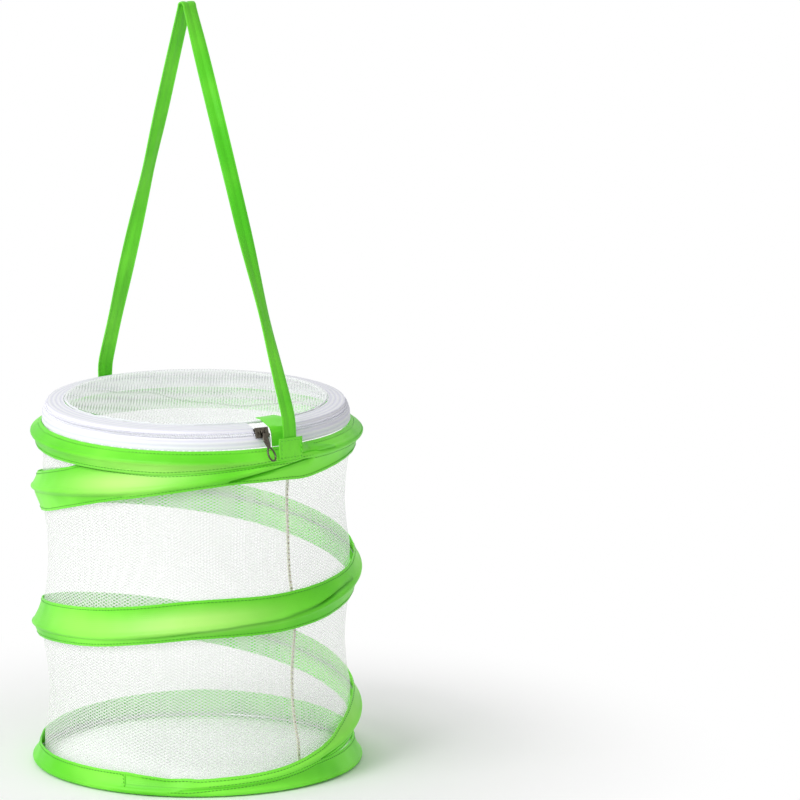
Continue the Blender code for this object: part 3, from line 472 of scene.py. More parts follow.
# pitch is the distance between threads, thread and wide their share of it and their slope, veil and solid the
# opacity of a hole and of a thread
net = nettingMaterial("polyesterNetting", "#FFFFFF",
                      {"pitch": 2.9 * mm, "thread": 0.34, "veil": 0.09, "solid": 0.6, "wide": 0.5})
lidNet = nettingMaterial("polyesterNettingLid", "#F8FAFA",
                         {"pitch": 2.6 * mm, "thread": 0.4, "veil": 0.42, "solid": 0.84, "wide": 0.03})
floorWeave = plainWoven("whitePolyesterWeave", "#FBFCFC", 1.1 * mm, 0.2)
# the zip tape's rib grooves are painted lavender grey as shade
tapeWeave = plainWoven("zipTapeWeave", "#FAFAFE", 2.1 * mm, 0.8, "#E6E6F2")
bindingWeave = plainWoven("whiteBindingTape", "#EFF2F4", 1.2 * mm, 0.4)
creamCotton = plainWoven("creamCottonTape", "#E8E9CC", 1.2 * mm, 0.4)
# extruded polyester monofilament, wound and heat set: milky and slightly glossy
coilNylon = marked("zipMonofilament", ("#EDEDF6",), 200.0, 2.0, (0.3, 0.45), 0.0)
# drawn spring steel wire, left bare: a clean grey with fine marks
steel = marked("drawnSpringSteel", ("#B4B6BA",), 900.0, 2.0, (0.22, 0.4), 1.0)
# die-cast zinc, tumbled and plated black nickel: dark, mirror bright on its edges
darkMetal = marked("blackNickelZinc", ("#2C2925", "#716B60"), 500.0, 3.0, (0.18, 0.42), 1.0)
stitchTree = beadTree("sewnStitches", threadMaterial)
paleStitchTree = beadTree("paleStitches", plainWoven("paleGreenThread", "#62C83A", 0.5 * mm, 0.3))
toothTree = beadTree("zipCoilLoops", coilNylon)
print("finishes made")

# casings: green fabric over the wire

casing = {
    "step": 1.5,                                  # degrees from one column to the next
    "hem": 3.1 * mm, "hemStep": 0.3 * mm, "hemFade": 0.5 * mm, "seam": 2.4 * mm,
    "crease": 3.8 * mm, "creaseAt": 4.6 * mm, "creaseWidth": 1.2 * mm, "creaseRoom": 3 * mm,
    "foldShade": 0.55, "roll": 1.7 * mm, "rollWidth": 2.2 * mm,
    "over": 0.45 * mm, "overEdge": 3.4 * mm, "overFade": 2 * mm,   # a casing lies over the next at its edge
    "lap": 0.9 * mm, "lapStart": -62, "lapEnd": 788,
    "topDraw": 10.5 * mm, "topCurve": 1.15, "topBend": 2.9 * mm,
    "plain": 9.0,                                 # a hem mark so far from any edge that nothing shows
}
stitch = {"Pitch": 3.4 * mm, "Length": 2.5 * mm, "Width": 0.55 * mm, "Height": 0.55 * mm}
nearWire = (0, 1.1, 2.1, 2.9, 3.5, 4.1, 4.7, 5.6)   # distances from the wire in mm
nearEdge = (3.3, 2.9, 2.4, 0.5, 0)                   # and from the edge


def sideHeights(wireZ, edge):
    # rows of one face, from the wire to its edge
    away = abs(edge - wireZ) / mm
    sign = 1 if edge > wireZ else -1
    start, end = list(nearWire), list(nearEdge)
    needed = start[-1] + end[0] + 0.6
    shrink = min(1, away / needed)
    start = [s * shrink for s in start]
    end = [away - e * shrink for e in end]
    middle = [start[-1] + (end[0] - start[-1]) * t for t in (0.33, 0.67)]
    return [wireZ + sign * mm * d for d in start + middle + end]


def creaseAmount(turnAngle):
    # the casing is pinched hardest under the wire where the front of the cage turns away to the right
    turn = wrapped(turnAngle + 35.5, -180)
    return 0.2 + 0.8 * ease((turn + 30) / 60) * ease((150 - turn) / 60)


# how far under the wire the crease lies on the middle turn, in mm, and how deep it is
creaseLine = (
    (230, 4.6), (272, 2.8), (306, 3.7), (320, 2.8), (327, 1.9), (334, 1.0), (344, -0.6), (357, -0.9),
    (363, -1.8), (374, -2.4), (379, -3.4), (386, -4.6), (398.9, -4.6), (399, 4.6),
)
creaseDepths = (
    (272, 1.0), (322, 1.0), (332, 0.2), (365, 0.2), (378, 0.7), (386, 0.7), (392, 0.5), (399, 0), (408, 1.0),
)


def creasePlace(angle):
    return through(creaseLine, angle) * mm if 230 < angle < 430 else casing["creaseAt"]


def creaseDepth(angle):
    return through(creaseDepths, angle) if 230 < angle < 430 else 1.0


def pinch(below, angle):
    off = (below - creasePlace(angle)) / casing["creaseWidth"]
    return creaseAmount(angle) * math.exp(-off * off)


def overhang(above, angle):
    # the cloth rolls over above the crease
    off = (above + creasePlace(angle) - casing["rollWidth"]) / casing["rollWidth"]
    return casing["roll"] * ease((angle - 318) / 20) * ease((398 - angle) / 16) * math.exp(-off * off)


def creased(low, wireZ):
    # the top ring's casing has no crease, and a narrow lower face has no room for one
    return wireZ < cage["highWire"] and low + casing["creaseRoom"] < wireZ - casing["creaseAt"]


def hemStep(fromEdge):
    return casing["hemStep"] * ease((casing["hem"] - fromEdge) / casing["hemFade"])


def casingRow(z, wireZ, edges, angle):
    # radius, height and hem mark
    radius = faceRadius(z, wireZ)
    if wireZ in (cage["lowWire"], cage["highWire"]):
        toLap = z - edges[0] if wireZ == cage["highWire"] else edges[1] - z
        radius += casing["over"] * ease((casing["overEdge"] - toLap) / casing["overFade"])
    else:
        pastEnds = (casing["lapStart"] + 5 - angle, angle - casing["lapEnd"] + 5)
        radius += casing["lap"] * sum(ease(past / 4) for past in pastEnds)
        lower = z - edges[0], angle < cage["helixStart"] + 190
        upper = edges[1] - z, angle > cage["helixEnd"] - 175
        for near, under in (lower, upper):
            radius -= casing["over"] * under * ease((casing["overEdge"] - near) / casing["overFade"])
    if creased(edges[0], wireZ):
        radius -= casing["crease"] * creaseDepth(angle) * pinch(wireZ - z, angle)
        radius += overhang(z - wireZ, angle)
    fromEdge = min(z - edges[0], edges[1] - z)
    calm = ease((abs(z - wireZ) - 2 * mm) / (6 * mm))
    return radius + hemStep(fromEdge) + ripple(angle, z, 0.55 * mm) * calm, z, fromEdge / mm


# where a highlight is painted on the climbing casing: turn angle, its spread, how far up the face, how
# strongly
paintedHighlightSpots = (
    (658, 24, 0.42, 0.85), (322, 30, 0.4, 0.8), (272, 18, 0.45, 0.2), (30, 30, 0.5, 0.3),
    (500, 60, 0.2, 0.35), (150, 60, 0.2, 0.35),
)


def paintedHighlightAt(angle, up):
    return sum(
        most * math.exp(-((angle - at) / spread) ** 2 - ((up - high) / 0.55) ** 2)
        for at, spread, high, most in paintedHighlightSpots
    )


# each section lists radius, height, hem mark, painted highlight and painted crease shade of its rows, from
# the lower edge to the upper one


def bottomSection(angle):
    low, wireZ, high = bottomEdges(angle)
    face = [casingRow(z, wireZ, (low, high), angle) for z in sideHeights(wireZ, high)]
    return [(*row, 0, 0) for row in [(r, z, casing["plain"]) for r, z in bottomLip] + face]


def helixSection(angle):
    low, wireZ, high = helixEdges(angle)
    heights = sideHeights(wireZ, low)[:0:-1] + sideHeights(wireZ, high)
    rows = [casingRow(z, wireZ, (low, high), angle) for z in heights]
    # painted highlights at the listed spots
    glows = [paintedHighlightAt(angle, (z - wireZ) / cage["reach"]) for z in heights]
    # painted shade in the crease, as deep as its pinch
    shade = casing["foldShade"] * creased(low, wireZ)
    return [(*row, glow, shade * pinch(wireZ - row[1], angle)) for row, glow in zip(rows, glows)]


def topSlope(z):
    # above its wire the top casing draws in towards the zip
    share = min(1, (z - cage["highWire"]) / cage["topRise"])
    return cage["crown"] - casing["topDraw"] * share ** casing["topCurve"]


def topSection(angle):
    low, wireZ, high = topEdges(angle)
    rows = [casingRow(z, wireZ, (low, high), angle) for z in sideHeights(wireZ, low)[:0:-1]]
    for z in sideHeights(wireZ, high):
        r = topSlope(z) + ripple(angle, z, 0.4 * mm) * ease((z - wireZ) / cage["topRise"] * 2)
        if z - wireZ < casing["topBend"]:
            r = max(r, faceRadius(z, wireZ))
        rows.append((r + hemStep(high - z), z, (high - z) / mm))
    # a painted highlight on the top casing round the azimuth of -45 degrees, fading out above its wire
    glow = 0.5 * math.exp(-((wrapped(angle + 45, -180) / 32) ** 2))
    return [(*row, glow * ease((wireZ + 2 * mm - row[1]) / (5 * mm)), 0) for row in rows]


def wrapCasing(name, start, end, sectionOf):
    columns = round((end - start) / casing["step"])
    points, uvs, marks = [], [], []
    for i in range(columns + 1):
        angle = start + (end - start) * i / columns
        section = sectionOf(angle)
        runs = [0.0]
        for (r0, z0, *_), (r1, z1, *_) in zip(section, section[1:]):
            runs.append(runs[-1] + math.hypot(r1 - r0, z1 - z0))
        points.append([polar(row[0], angle, row[1]) for row in section])
        uvs.append([(math.radians(angle) * cage["crown"], run) for run in runs])
        marks.append([row[2:] for row in section])
    # the marks are the hem, a painted highlight and painted shade in the crease
    hem, glow, fold = ([[m[k] for m in column] for column in marks] for k in range(3))
    obj = gridMesh(name, points, uvs, end - start == 360, hem=hem, glow=glow, fold=fold)
    return dress(walled(obj, cage["fabric"]), lime)


def seamLine(start, end, edgesOf, side):
    # a line of stitching inside a casing's edge, above its wire or below
    line = []
    steps = max(2, round((end - start) / 2))
    for i in range(steps + 1):
        angle = start + (end - start) * i / steps
        low, wireZ, high = edgesOf(angle)
        z = high - casing["seam"] if side > 0 else low + casing["seam"]
        line.append(polar(casingRow(z, wireZ, (low, high), angle)[0] + 0.12 * mm, angle, z))
    return line


bottomLip = (
    (144.2 * mm, 0.5 * mm), (146.9 * mm, 0.5 * mm), (148.0 * mm, 0.75 * mm), (149.1 * mm, 1.4 * mm),
    (149.8 * mm, 2.5 * mm),
)
casingBottom = wrapCasing("casingBottom", -60, 300, bottomSection)
casingHelix = wrapCasing("casingHelix", casing["lapStart"], casing["lapEnd"], helixSection)
casingTop = wrapCasing("casingTop", 30, 390, topSection)
topLine = [polar(142.4 * mm, a, cage["highWire"] + 7.3 * mm) for a in range(0, 361, 2)]
stitchesHelix, stitchesBottom, stitchesTop = (
    beads(pathObject(name, lines), stitchTree, stitch) for name, lines in (
        ("stitchesHelix", [seamLine(-54, 780, helixEdges, 1), seamLine(-30, 780, helixEdges, -1)]),
        ("stitchesBottom", [seamLine(-60, 300, bottomEdges, 1)]),
        ("stitchesTop", [seamLine(72, 424, topEdges, -1), topLine]),
    )
)
print("casings made")

# netting wall, its seam and the floor

wall = {
    "columns": 240, "rows": 90, "low": 1.6 * mm, "high": 314 * mm, "mean": 140 * mm,
    "behind": 1.9 * mm,       # how far the net lies behind the casings' outside
    "most": 142.6 * mm, "spread": 21 * mm, "atZip": 137.3 * mm,
}


def wallRadius(angle, z):
    levels = {cage["lowWire"], cage["highWire"]}
    pinched = 0
    for turn in range(3):
        turnAngle = wrapped(angle, cage["helixStart"]) + 360 * turn
        if turnAngle <= cage["wireEnd"]:
            level = wireHeight(turnAngle)
            levels.add(level)
            pinched = max(pinched, creaseDepth(turnAngle) * pinch(level - z, turnAngle))
    nearest, following = sorted(abs(z - level) for level in levels)[:2]
    away = max(nearest, min(following, wall["spread"]))
    radius = min(faceRadius(away, 0) - wall["behind"], wall["most"])
    share = ease((z - cage["highWire"] + 9 * mm) / (11.5 * mm))   # the net draws in under the zip's tape
    radius += (min(radius, wall["atZip"]) - radius) * share
    return radius - casing["crease"] * pinched + ripple(angle, z, 0.25 * mm)


def wallSpot(u, v):
    angle, z = 360 * u, wall["low"] + (wall["high"] - wall["low"]) * v
    return polar(wallRadius(angle, z), angle, z), (math.radians(angle) * wall["mean"], z)


nettingWall = dress(surface("nettingWall", wall["columns"], wall["rows"], wallSpot, True), net)

tape = {
    "azimuth": 4.8, "width": 3 * mm, "thickness": 0.7 * mm, "slant": 5.5,
    "inside": 1.3 * mm, "puff": 0.4 * mm,
}
seamStitch = {"Pitch": 5 * mm, "Length": 3 * mm, "Width": 0.8 * mm, "Height": 0.6 * mm}


def seamDrift(z):
    # the seam wanders and leans a little, as the net is cut by hand
    return tape["slant"] * (0.5 - z / wall["high"]) + 0.3 * math.sin(z * 60)


def seamPlace(z, inside, aside):
    azimuth = tape["azimuth"]
    return polar(wallRadius(azimuth, z) - inside, azimuth + aside + seamDrift(z), z)


def tapeSpot(u, v):
    z, across = wall["low"] + (wall["high"] - wall["low"]) * v, 2 * u - 1
    inside = tape["inside"] + tape["puff"] * (1 - across * across)
    aside = math.degrees(tape["width"] / 2 / cage["wireRing"]) * across
    return seamPlace(z, inside, aside), (across * tape["width"] / 2, wall["high"] * v)


seamTape = dress(walled(surface("seamTape", 6, wall["rows"], tapeSpot), tape["thickness"]), creamCotton)
seamEnds = wall["low"] + 2 * mm, wall["high"] - 2 * mm
seamPath = [seamPlace(seamEnds[0] + (seamEnds[1] - seamEnds[0]) * k / 89, 1.2 * mm, 0.15) for k in range(90)]
seamTree = beadTree("seamStitches", plainWoven("brownSewingThread", "#8A7650", 0.5 * mm, 0.3))
stitchesSeam = beads(pathObject("stitchesSeam", [seamPath]), seamTree, seamStitch)

floor = {"radius": 143.6 * mm, "height": 1.15 * mm, "slack": 0.35 * mm, "thickness": 1.1 * mm}


def floorSpot(u, v):
    r = floor["radius"] * (1 - v * 0.999)
    wave = (1 + math.sin(10 * math.pi * u + 30 * r)) / 2
    lift = floor["slack"] * (1 - (r / floor["radius"]) ** 2) * wave
    spot = polar(r, 360 * u, floor["height"] + lift)
    return spot, (spot.x, spot.y)


floorCloth = closeMiddle(surface("floorCloth", 120, 26, floorSpot, True))
floorCloth = dress(walled(floorCloth, floor["thickness"]), floorWeave)
print("netting and floor made")

# zip and lid

zipper = {
    "radius": 136.4 * mm, "height": 328 * mm, "tilt": 25, "mesh": 1.05 * mm, "under": 1.1 * mm,
    "half": 4.7 * mm, "cloth": 0.8 * mm, "hem": 0.4 * mm, "behind": 0.9 * mm,
    "tab": 5.45, "park": 12.1,   # degrees left free at the hinge tab and at the slider
}
rim = {"radius": 119 * mm, "width": 2.6 * mm, "height": 335.6 * mm, "thickness": 2.2 * mm}


def zipPoint(along, out=0.0):
    # radius and height of a place on the zip's slope
    tilt = math.radians(zipper["tilt"])
    return (
        zipper["radius"] - along * math.sin(tilt) + out * math.cos(tilt),
        zipper["height"] + along * math.cos(tilt) + out * math.sin(tilt),
    )


def profileStrip(name, start, end, section, thickness, finish, step=1.5, wave=0.0):
    # a strip of cloth that runs round the cage with one section of radius and height
    fine = []
    for (r0, z0), (r1, z1) in zip(section, section[1:]):
        fine += [(r0 + (r1 - r0) * t / 4, z0 + (z1 - z0) * t / 4) for t in range(4)]
    fine.append(section[-1])
    runs = [0.0]
    for a, b in zip(fine, fine[1:]):
        runs.append(runs[-1] + math.hypot(b[0] - a[0], b[1] - a[1]))

    def stripSpot(u, v):
        angle, row = start + (end - start) * u, round(v * (len(fine) - 1))
        (r, z), run = fine[row], runs[row]
        swell = wave * math.sin(math.pi * run / runs[-1]) * math.sin(math.radians(angle) * 23 + run * 400)
        return polar(r + swell, angle, z), (run, math.radians(angle) * cage["crown"])

    columns = max(2, round((end - start) / step))
    return dress(walled(surface(name, columns, len(fine) - 1, stripSpot), thickness), finish)


halfCloth = zipper["cloth"] / 2
outerEdge, innerEdge = zipper["half"] + zipper["hem"], zipper["under"]
lowProfile = [
    (139.1 * mm + halfCloth, cage["highWire"] + 10.2 * mm), zipPoint(-outerEdge, halfCloth),
    zipPoint(-innerEdge, halfCloth - zipper["behind"]),
]
highProfile = [
    zipPoint(innerEdge, halfCloth - zipper["behind"]), zipPoint(outerEdge, halfCloth),
    (rim["radius"] + 0.4 * mm + halfCloth, rim["height"] - 1.1 * mm),
]
tapeStart, tapeEnd = zipper["tab"] + 0.2, 360 - zipper["tab"] - 0.2
lidTapeEnd = 360 - zipper["park"]
zipTapeFrame = profileStrip("zipTapeFrame", tapeStart, tapeEnd, lowProfile, zipper["cloth"], tapeWeave)
zipTapeLid = profileStrip("zipTapeLid", tapeStart, lidTapeEnd, highProfile, zipper["cloth"], tapeWeave)


def arcPath(along, start, end):
    r, z = zipPoint(along)
    steps = round((end - start) / 2)
    return [polar(r, start + (end - start) * i / steps, z) for i in range(steps + 1)]


teeth = {"Pitch": 1.5 * mm, "Length": 1.35 * mm, "Width": 2.3 * mm, "Height": 2.3 * mm}
zipTeethFrame = beads(pathObject("zipTeethFrame", [arcPath(-zipper["mesh"], 6.3, 353.7)]), toothTree, teeth)
zipTeethLid = beads(pathObject("zipTeethLid", [arcPath(zipper["mesh"], 5.9, lidTapeEnd)]), toothTree, teeth)


def rimSpot(u, v):
    angle, a = 360 * u, 2 * math.pi * v
    lift = 0.35 * mm * math.sin(math.radians(angle) * 9) + 0.2 * mm * math.sin(math.radians(angle) * 31)
    plump = 1 + 0.2 * math.sin(angle)   # degrees, unconverted, so that each column differs from the next
    r = rim["radius"] - rim["width"] / 2 * (1 - math.cos(a))
    z = rim["height"] - rim["thickness"] / 2 * (1 - math.sin(a) * plump) + lift
    return polar(r, angle, z), (v * 9.6 * mm, math.radians(angle) * rim["radius"])


def buildRim():
    obj = surface("rimBinding", 240, 12, rimSpot, True)
    shell = bmesh.new()
    shell.from_mesh(obj.data)
    bmesh.ops.remove_doubles(shell, verts=shell.verts, dist=0.01 * mm)
    bmesh.ops.recalc_face_normals(shell, faces=shell.faces)
    shell.to_mesh(obj.data)
    shell.free()
    obj.data.shade_smooth()
    return dress(obj, bindingWeave)


rimBinding = buildRim()

lid = {
    "grain": 54.5, "inset": 0.5 * mm, "sag": 5.6 * mm, "above": 0.6 * mm,
    "creaseWidth": 2.8 * mm, "creaseHeight": 2 * mm, "creaseEnd": 110 * mm,
}
# one wavy crease lies across the lid, where the netting doubles on itself: its places along the grain and
# across it, in metres
lidCreaseLine = (
    (-0.12, 0.024), (-0.05, 0.027), (-0.02, 0.01), (0.004, -0.004), (0.03, -0.02), (0.058, -0.026),
    (0.1, -0.012),
)


def lidGrain(x, y):
    a = math.radians(lid["grain"])
    return x * math.cos(a) + y * math.sin(a), y * math.cos(a) - x * math.sin(a)


def lidCrease(x, y):
    side, deep = lidGrain(x, y)
    off = (deep - through(lidCreaseLine, side) - 1.2 * mm * math.sin(side * 130)) / lid["creaseWidth"]
    return math.exp(-off * off) * ease((lid["creaseEnd"] - abs(side)) / 0.03)


def lidHeight(x, y, r):
    # a slack round of netting, with its crease and soft folds towards the rim
    share = min(1, r / (rim["radius"] - rim["width"]))
    sag = lid["sag"] * (1 - share**2)
    waves = 0.8 * mm * math.sin(x * 70 + 1.1) * math.sin(y * 40) + 0.4 * mm * math.sin(y * 130 + x * 60)
    slack = (waves + lid["creaseHeight"] * lidCrease(x, y)) * math.sin(math.pi * share)
    return rim["height"] + lid["above"] - sag + slack


def lidSpot(u, v):
    r = (rim["radius"] - lid["inset"]) * (1 - v * 0.9995)
    spot = polar(r, 360 * u, 0)
    spot.z = lidHeight(spot.x, spot.y, r)
    # the hem mark here is the crease's share, which the netting's finish paints grey as shade
    return spot, lidGrain(spot.x, spot.y)[::-1], lidCrease(spot.x, spot.y)


lidNetting = dress(closeMiddle(surface("lidNetting", 144, 46, lidSpot, True)), lidNet)
for item in (nettingWall, lidNetting):
    item.visible_shadow = False   # thin white thread passes nearly all the light on

tabShape = {
    "over": rim["height"] + 1.2 * mm, "inset": 9 * mm, "thickness": 0.8 * mm,
    "reach": 5.2, "wave": 0.25 * mm,
}
tabProfile = [
    (139.9 * mm, cage["highWire"] + 9.9 * mm), (139.4 * mm, cage["highWire"] + 13 * mm),
    zipPoint(-1 * mm, 1.4 * mm), zipPoint(2 * mm, 1.2 * mm), zipPoint(4.2 * mm, 0.8 * mm),
    (rim["radius"] + 1.1 * mm, tabShape["over"] - 0.4 * mm), (rim["radius"] - 2 * mm, tabShape["over"]),
    (rim["radius"] - tabShape["inset"], tabShape["over"] - 0.2 * mm),
]
hingeTab = profileStrip("hingeTab", -tabShape["reach"], tabShape["reach"], tabProfile, tabShape["thickness"],
                        lime, 0.65, tabShape["wave"])
print("zip and lid made")

# the pull on the slider

pullSize = {
    "length": 29 * mm, "width": 8 * mm, "bar": 0.85 * mm, "loop": 6.4 * mm,
    "hang": 31, "lean": 8, "azimuth": -9.2, "pivot": 5.1 * mm,
}
# the neck's rings: how far down, half its width and half its depth, in mm
neckRings = (
    (0.7, 1.0, 0.7), (3.2, 1.25, 0.7), (5.0, 2.6, 0.75), (8.5, 2.9, 0.75), (12.5, 2.3, 0.7), (15.0, 1.6, 0.7),
    (16.4, 1.2, 0.6),
)


def pullPlace():
    r, z = zipPoint(0)
    azimuth, tilt = pullSize["azimuth"], math.radians(zipper["tilt"])
    place = Matrix.Translation(polar(r, azimuth, z)) @ Matrix.Rotation(math.radians(azimuth), 4, "Z")
    place = place @ Matrix.Rotation(-tilt, 4, "Y") @ Matrix.Translation((pullSize["pivot"], 0, 0))
    hang = Matrix.Rotation(-math.radians(pullSize["hang"] - zipper["tilt"]), 4, "Y")
    return place @ hang @ Matrix.Rotation(math.radians(pullSize["lean"]), 4, "X")


def pullWire():
    # the drop-shaped loop of bent bar
    half = pullSize["width"] / 2 - pullSize["bar"]
    middle = pullSize["length"] - pullSize["bar"] - pullSize["loop"]
    curve = bpy.data.curves.new("pullLoop", "CURVE")
    curve.dimensions = "3D"
    curve.bevel_depth = pullSize["bar"]
    curve.bevel_resolution = 4
    spline = curve.splines.new("POLY")
    spline.points.add(31)
    for k, point in enumerate(spline.points):
        a = 2 * math.pi * k / 32
        across = half * math.sin(a) * (1 + 0.15 * math.cos(a))
        point.co = (0, across, -middle - pullSize["loop"] * math.cos(a), 1.0)
    spline.use_cyclic_u = True
    return addObject("pullLoop", curve)


def squarish(value):
    return math.copysign(abs(value) ** 0.55, value) * mm


def buildPull():
    # the loop and a short neck, all one casting
    loop = pullWire()
    shell = bmesh.new()
    graph = bpy.context.evaluated_depsgraph_get()
    shell.from_mesh(bpy.data.meshes.new_from_object(loop.evaluated_get(graph)))
    bpy.data.objects.remove(loop)
    turns = [2 * math.pi * k / 16 for k in range(16)]
    rows = [
        [
            shell.verts.new((squarish(math.cos(a)) * deep, squarish(math.sin(a)) * across, -down * mm))
            for a in turns
        ]
        for down, across, deep in neckRings
    ]
    for low, high in zip(rows, rows[1:]):
        for k in range(16):
            shell.faces.new((low[k], low[(k + 1) % 16], high[(k + 1) % 16], high[k]))
    shell.faces.new(rows[0])
    shell.faces.new(rows[-1][::-1])
    bmesh.ops.recalc_face_normals(shell, faces=shell.faces)
    mesh = bpy.data.meshes.new("pullLoop")
    shell.to_mesh(mesh)
    shell.free()
    mesh.transform(pullPlace())
    mesh.shade_smooth()
    mesh.set_sharp_from_angle(angle=math.radians(50))
    return dress(addObject("pullLoop", mesh), darkMetal)


pullLoop = buildPull()
print("pull made")

# strap and the patches that hold it

strap = {
    "foot": 148.5 * mm, "footHeight": 322.6 * mm, "peak": 697.4 * mm, "width": 14 * mm, "thickness": 1.2 * mm,
    "upright": 18 * mm, "bend": 6 * mm, "lean": 7.5 * mm, "peakWidth": 9 * mm, "steps": 60,
}


def strapRoute():
    halfPeak = strap["peakWidth"] / 2
    line = []
    rise = strap["peak"] - halfPeak - strap["footHeight"]

    def inward(z):
        away = z - strap["upright"]
        return (away + math.hypot(away, strap["bend"])) / 2

    for i in range(strap["steps"] + 1):
        t = i / strap["steps"]
        x = strap["foot"] + (halfPeak - strap["foot"]) * inward(rise * t) / inward(rise)
        line.append(Vector((x, -strap["lean"] * t, strap["footHeight"] + rise * t)))
    for i in range(1, 8):
        a = math.pi / 2 * i / 8
        z = strap["peak"] - halfPeak + halfPeak * math.sin(a)
        line.append(Vector((halfPeak * math.cos(a), -strap["lean"], z)))
    line.append(Vector((0, -strap["lean"], strap["peak"])))
    return line + [Vector((-p.x, p.y, p.z)) for p in reversed(line[:-1])]


# degrees that each leg has turned on itself at a height in metres, as a soft strap does
frontTurns = (
    (0.33, 0), (0.36, -6), (0.402, -17), (0.428, -19), (0.47, -5), (0.506, 10), (0.591, 33), (0.651, 20),
    (0.69, 0),
)
rearTurns = (
    (0.325, 0), (0.336, -12), (0.383, -10), (0.442, -26), (0.501, -10), (0.541, 4), (0.6, -6),
    (0.639, -10), (0.69, 0),
)


def strapRoll(point):
    return through(frontTurns if point.x > 0 else rearTurns, point.z)


def roundEnd(point, angles):
    half = strap["width"] / 2
    return [(point - Vector((0, 0, half * math.cos(a))), half * math.sin(a)) for a in angles]


def buildStrap():
    route = strapRoute()
    endAngles = (0.2, 0.5, 0.9, 1.3)
    stations = roundEnd(route[0], endAngles) + [(p, strap["width"] / 2) for p in route]
    stations += roundEnd(route[-1], endAngles[::-1])
    shares = [-1, -0.93, -0.72, -0.45, -0.15, 0.0, 0.15, 0.45, 0.72, 0.93, 1]
    points = [[] for _ in shares]
    run, runs = 0.0, []
    last = len(stations) - 1
    for k, (point, wide) in enumerate(stations):
        before, after = stations[max(k - 1, 0)][0], stations[min(k + 1, last)][0]
        if 3 < k < last - 3:
            along = (after - before).normalized()
        else:
            along = Vector((0, 0, math.copysign(1, point.x)))
        normal, sideways = Vector((along.z, 0, -along.x)), Vector((0, 1, 0))
        roll = math.radians(strapRoll(point)) * ease(min(k, last - k) / 10)
        across = sideways * math.cos(roll) + normal * math.sin(roll)
        facing = normal * math.cos(roll) - sideways * math.sin(roll)
        if k:
            run += (point - stations[k - 1][0]).length
        runs.append(run)
        calm = ease(min(k, last - k) / 9)
        for column, share in zip(points, shares):
            groove = 0.55 * mm * math.exp(-(((share + 0.1 * math.sin(run * 18)) / 0.16) ** 2))
            turned = 0.5 * mm * ease((abs(share) - 0.7) / 0.3)
            wave = 0.35 * mm * math.sin(run * 47 + share * 2)
            outward = strap["thickness"] / 2 - (groove + turned + wave) * calm
            column.append(point + across * (share * wide) + facing * outward)
    uvs = [[(share * strap["width"] / 2, s) for s in runs] for share in shares]
    hem = [[(1 - abs(share)) * strap["width"] / 2 / mm + 0.9 for _ in runs] for share in shares]
    return dress(walled(gridMesh("strapRibbon", points, uvs, False, hem=hem), strap["thickness"]), strapLime)


strapRibbon = buildStrap()

patch = {
    "width": 25 * mm, "high": 324 * mm, "low": 304.3 * mm, "thickness": 0.7 * mm, "over": 1.1 * mm,
    "border": 0.25 * mm, "pucker": 0.3 * mm, "stitchInset": 2.2 * mm,
}


def buildPatch(name, azimuth, seed):
    crown = cage["crown"] + patch["over"]
    outer = strap["foot"] + strap["thickness"] / 2 + patch["over"]

    def patchSpot(u, v):
        across = 2 * u - 1
        angle = azimuth + across * math.degrees(patch["width"] / 2 / cage["crown"])
        z = patch["low"] + (patch["high"] - patch["low"]) * v
        r = crown + (outer - crown) * ease((z - cage["highWire"]) / (14 * mm))
        pucker = patch["pucker"] * math.sin(across * 9 + seed) * math.sin(v * 7 + seed)
        border = patch["border"] * ease((max(abs(across), abs(2 * v - 1)) - 0.8) / 0.1)
        lean = 0.4 * mm * across * math.sin(3 * v + seed)
        spot = polar(r + max(0, pucker) + border, angle, z + lean)
        return spot, (across * patch["width"] / 2, patch["high"] * v)

    return dress(walled(surface(name, 24, 24, patchSpot), patch["thickness"]), lime)


def patchStitches(name, azimuth):
    edge = math.degrees((patch["width"] / 2 - patch["stitchInset"]) / cage["crown"])
    r = cage["crown"] + 1.7 * mm
    low, high = patch["low"] + patch["stitchInset"], patch["high"] - patch["stitchInset"]
    steps = [k / 12 for k in range(13)]
    lines = [
        [polar(out, azimuth - edge + 2 * edge * t, z) for t in steps]
        for out, z in ((r, low), (r - 0.3 * mm, high))
    ]
    lines += [[polar(r, azimuth + side, low + (high - low) * t) for t in steps] for side in (-edge, edge)]
    return beads(pathObject(name, lines), paleStitchTree, stitch)


patchFront, patchBack = buildPatch("patchFront", 0, 0.4), buildPatch("patchBack", 180, 2.2)

# the strap's end, tucked flat along the top casing beside the front patch
tail = {
    "from": 4.2, "to": 21.5, "high": 313.6 * mm, "low": 308 * mm, "half": 4.6 * mm, "tip": 0.8 * mm,
    "lift": 2.1 * mm, "thickness": 1.2 * mm, "length": 40 * mm, "held": 0.6 * mm, "puff": 1.6 * mm,
}


def tailSpot(u, v):
    angle, across = tail["from"] + (tail["to"] - tail["from"]) * u, 2 * v - 1
    wide = tail["half"] + (tail["tip"] - tail["half"]) * u ** 0.8
    z = tail["high"] + (tail["low"] - tail["high"]) * u + wide * across
    bend = z < cage["highWire"] + casing["topBend"]
    skin = (faceRadius(z, cage["highWire"]) if bend else topSlope(z)) + tail["lift"]
    held = cage["crown"] + tail["held"]
    puff = tail["puff"] * (1 - across * across) * (1 - u) + 0.3 * mm * math.sin(u * 14) * (1 - abs(across))
    spot = polar(skin + (held - skin) * ease(1 - u * 3.2) + puff, angle, z)
    return spot, (u * tail["length"], 2 * wide * v), casing["plain"]


strapTail = dress(walled(surface("strapTail", 28, 8, tailSpot), tail["thickness"]), strapLime)
stitchesFront, stitchesBack = patchStitches("stitchesFront", 0), patchStitches("stitchesBack", 180)
print("strap made")

# the spring wire and what else stays as the CAD model has it

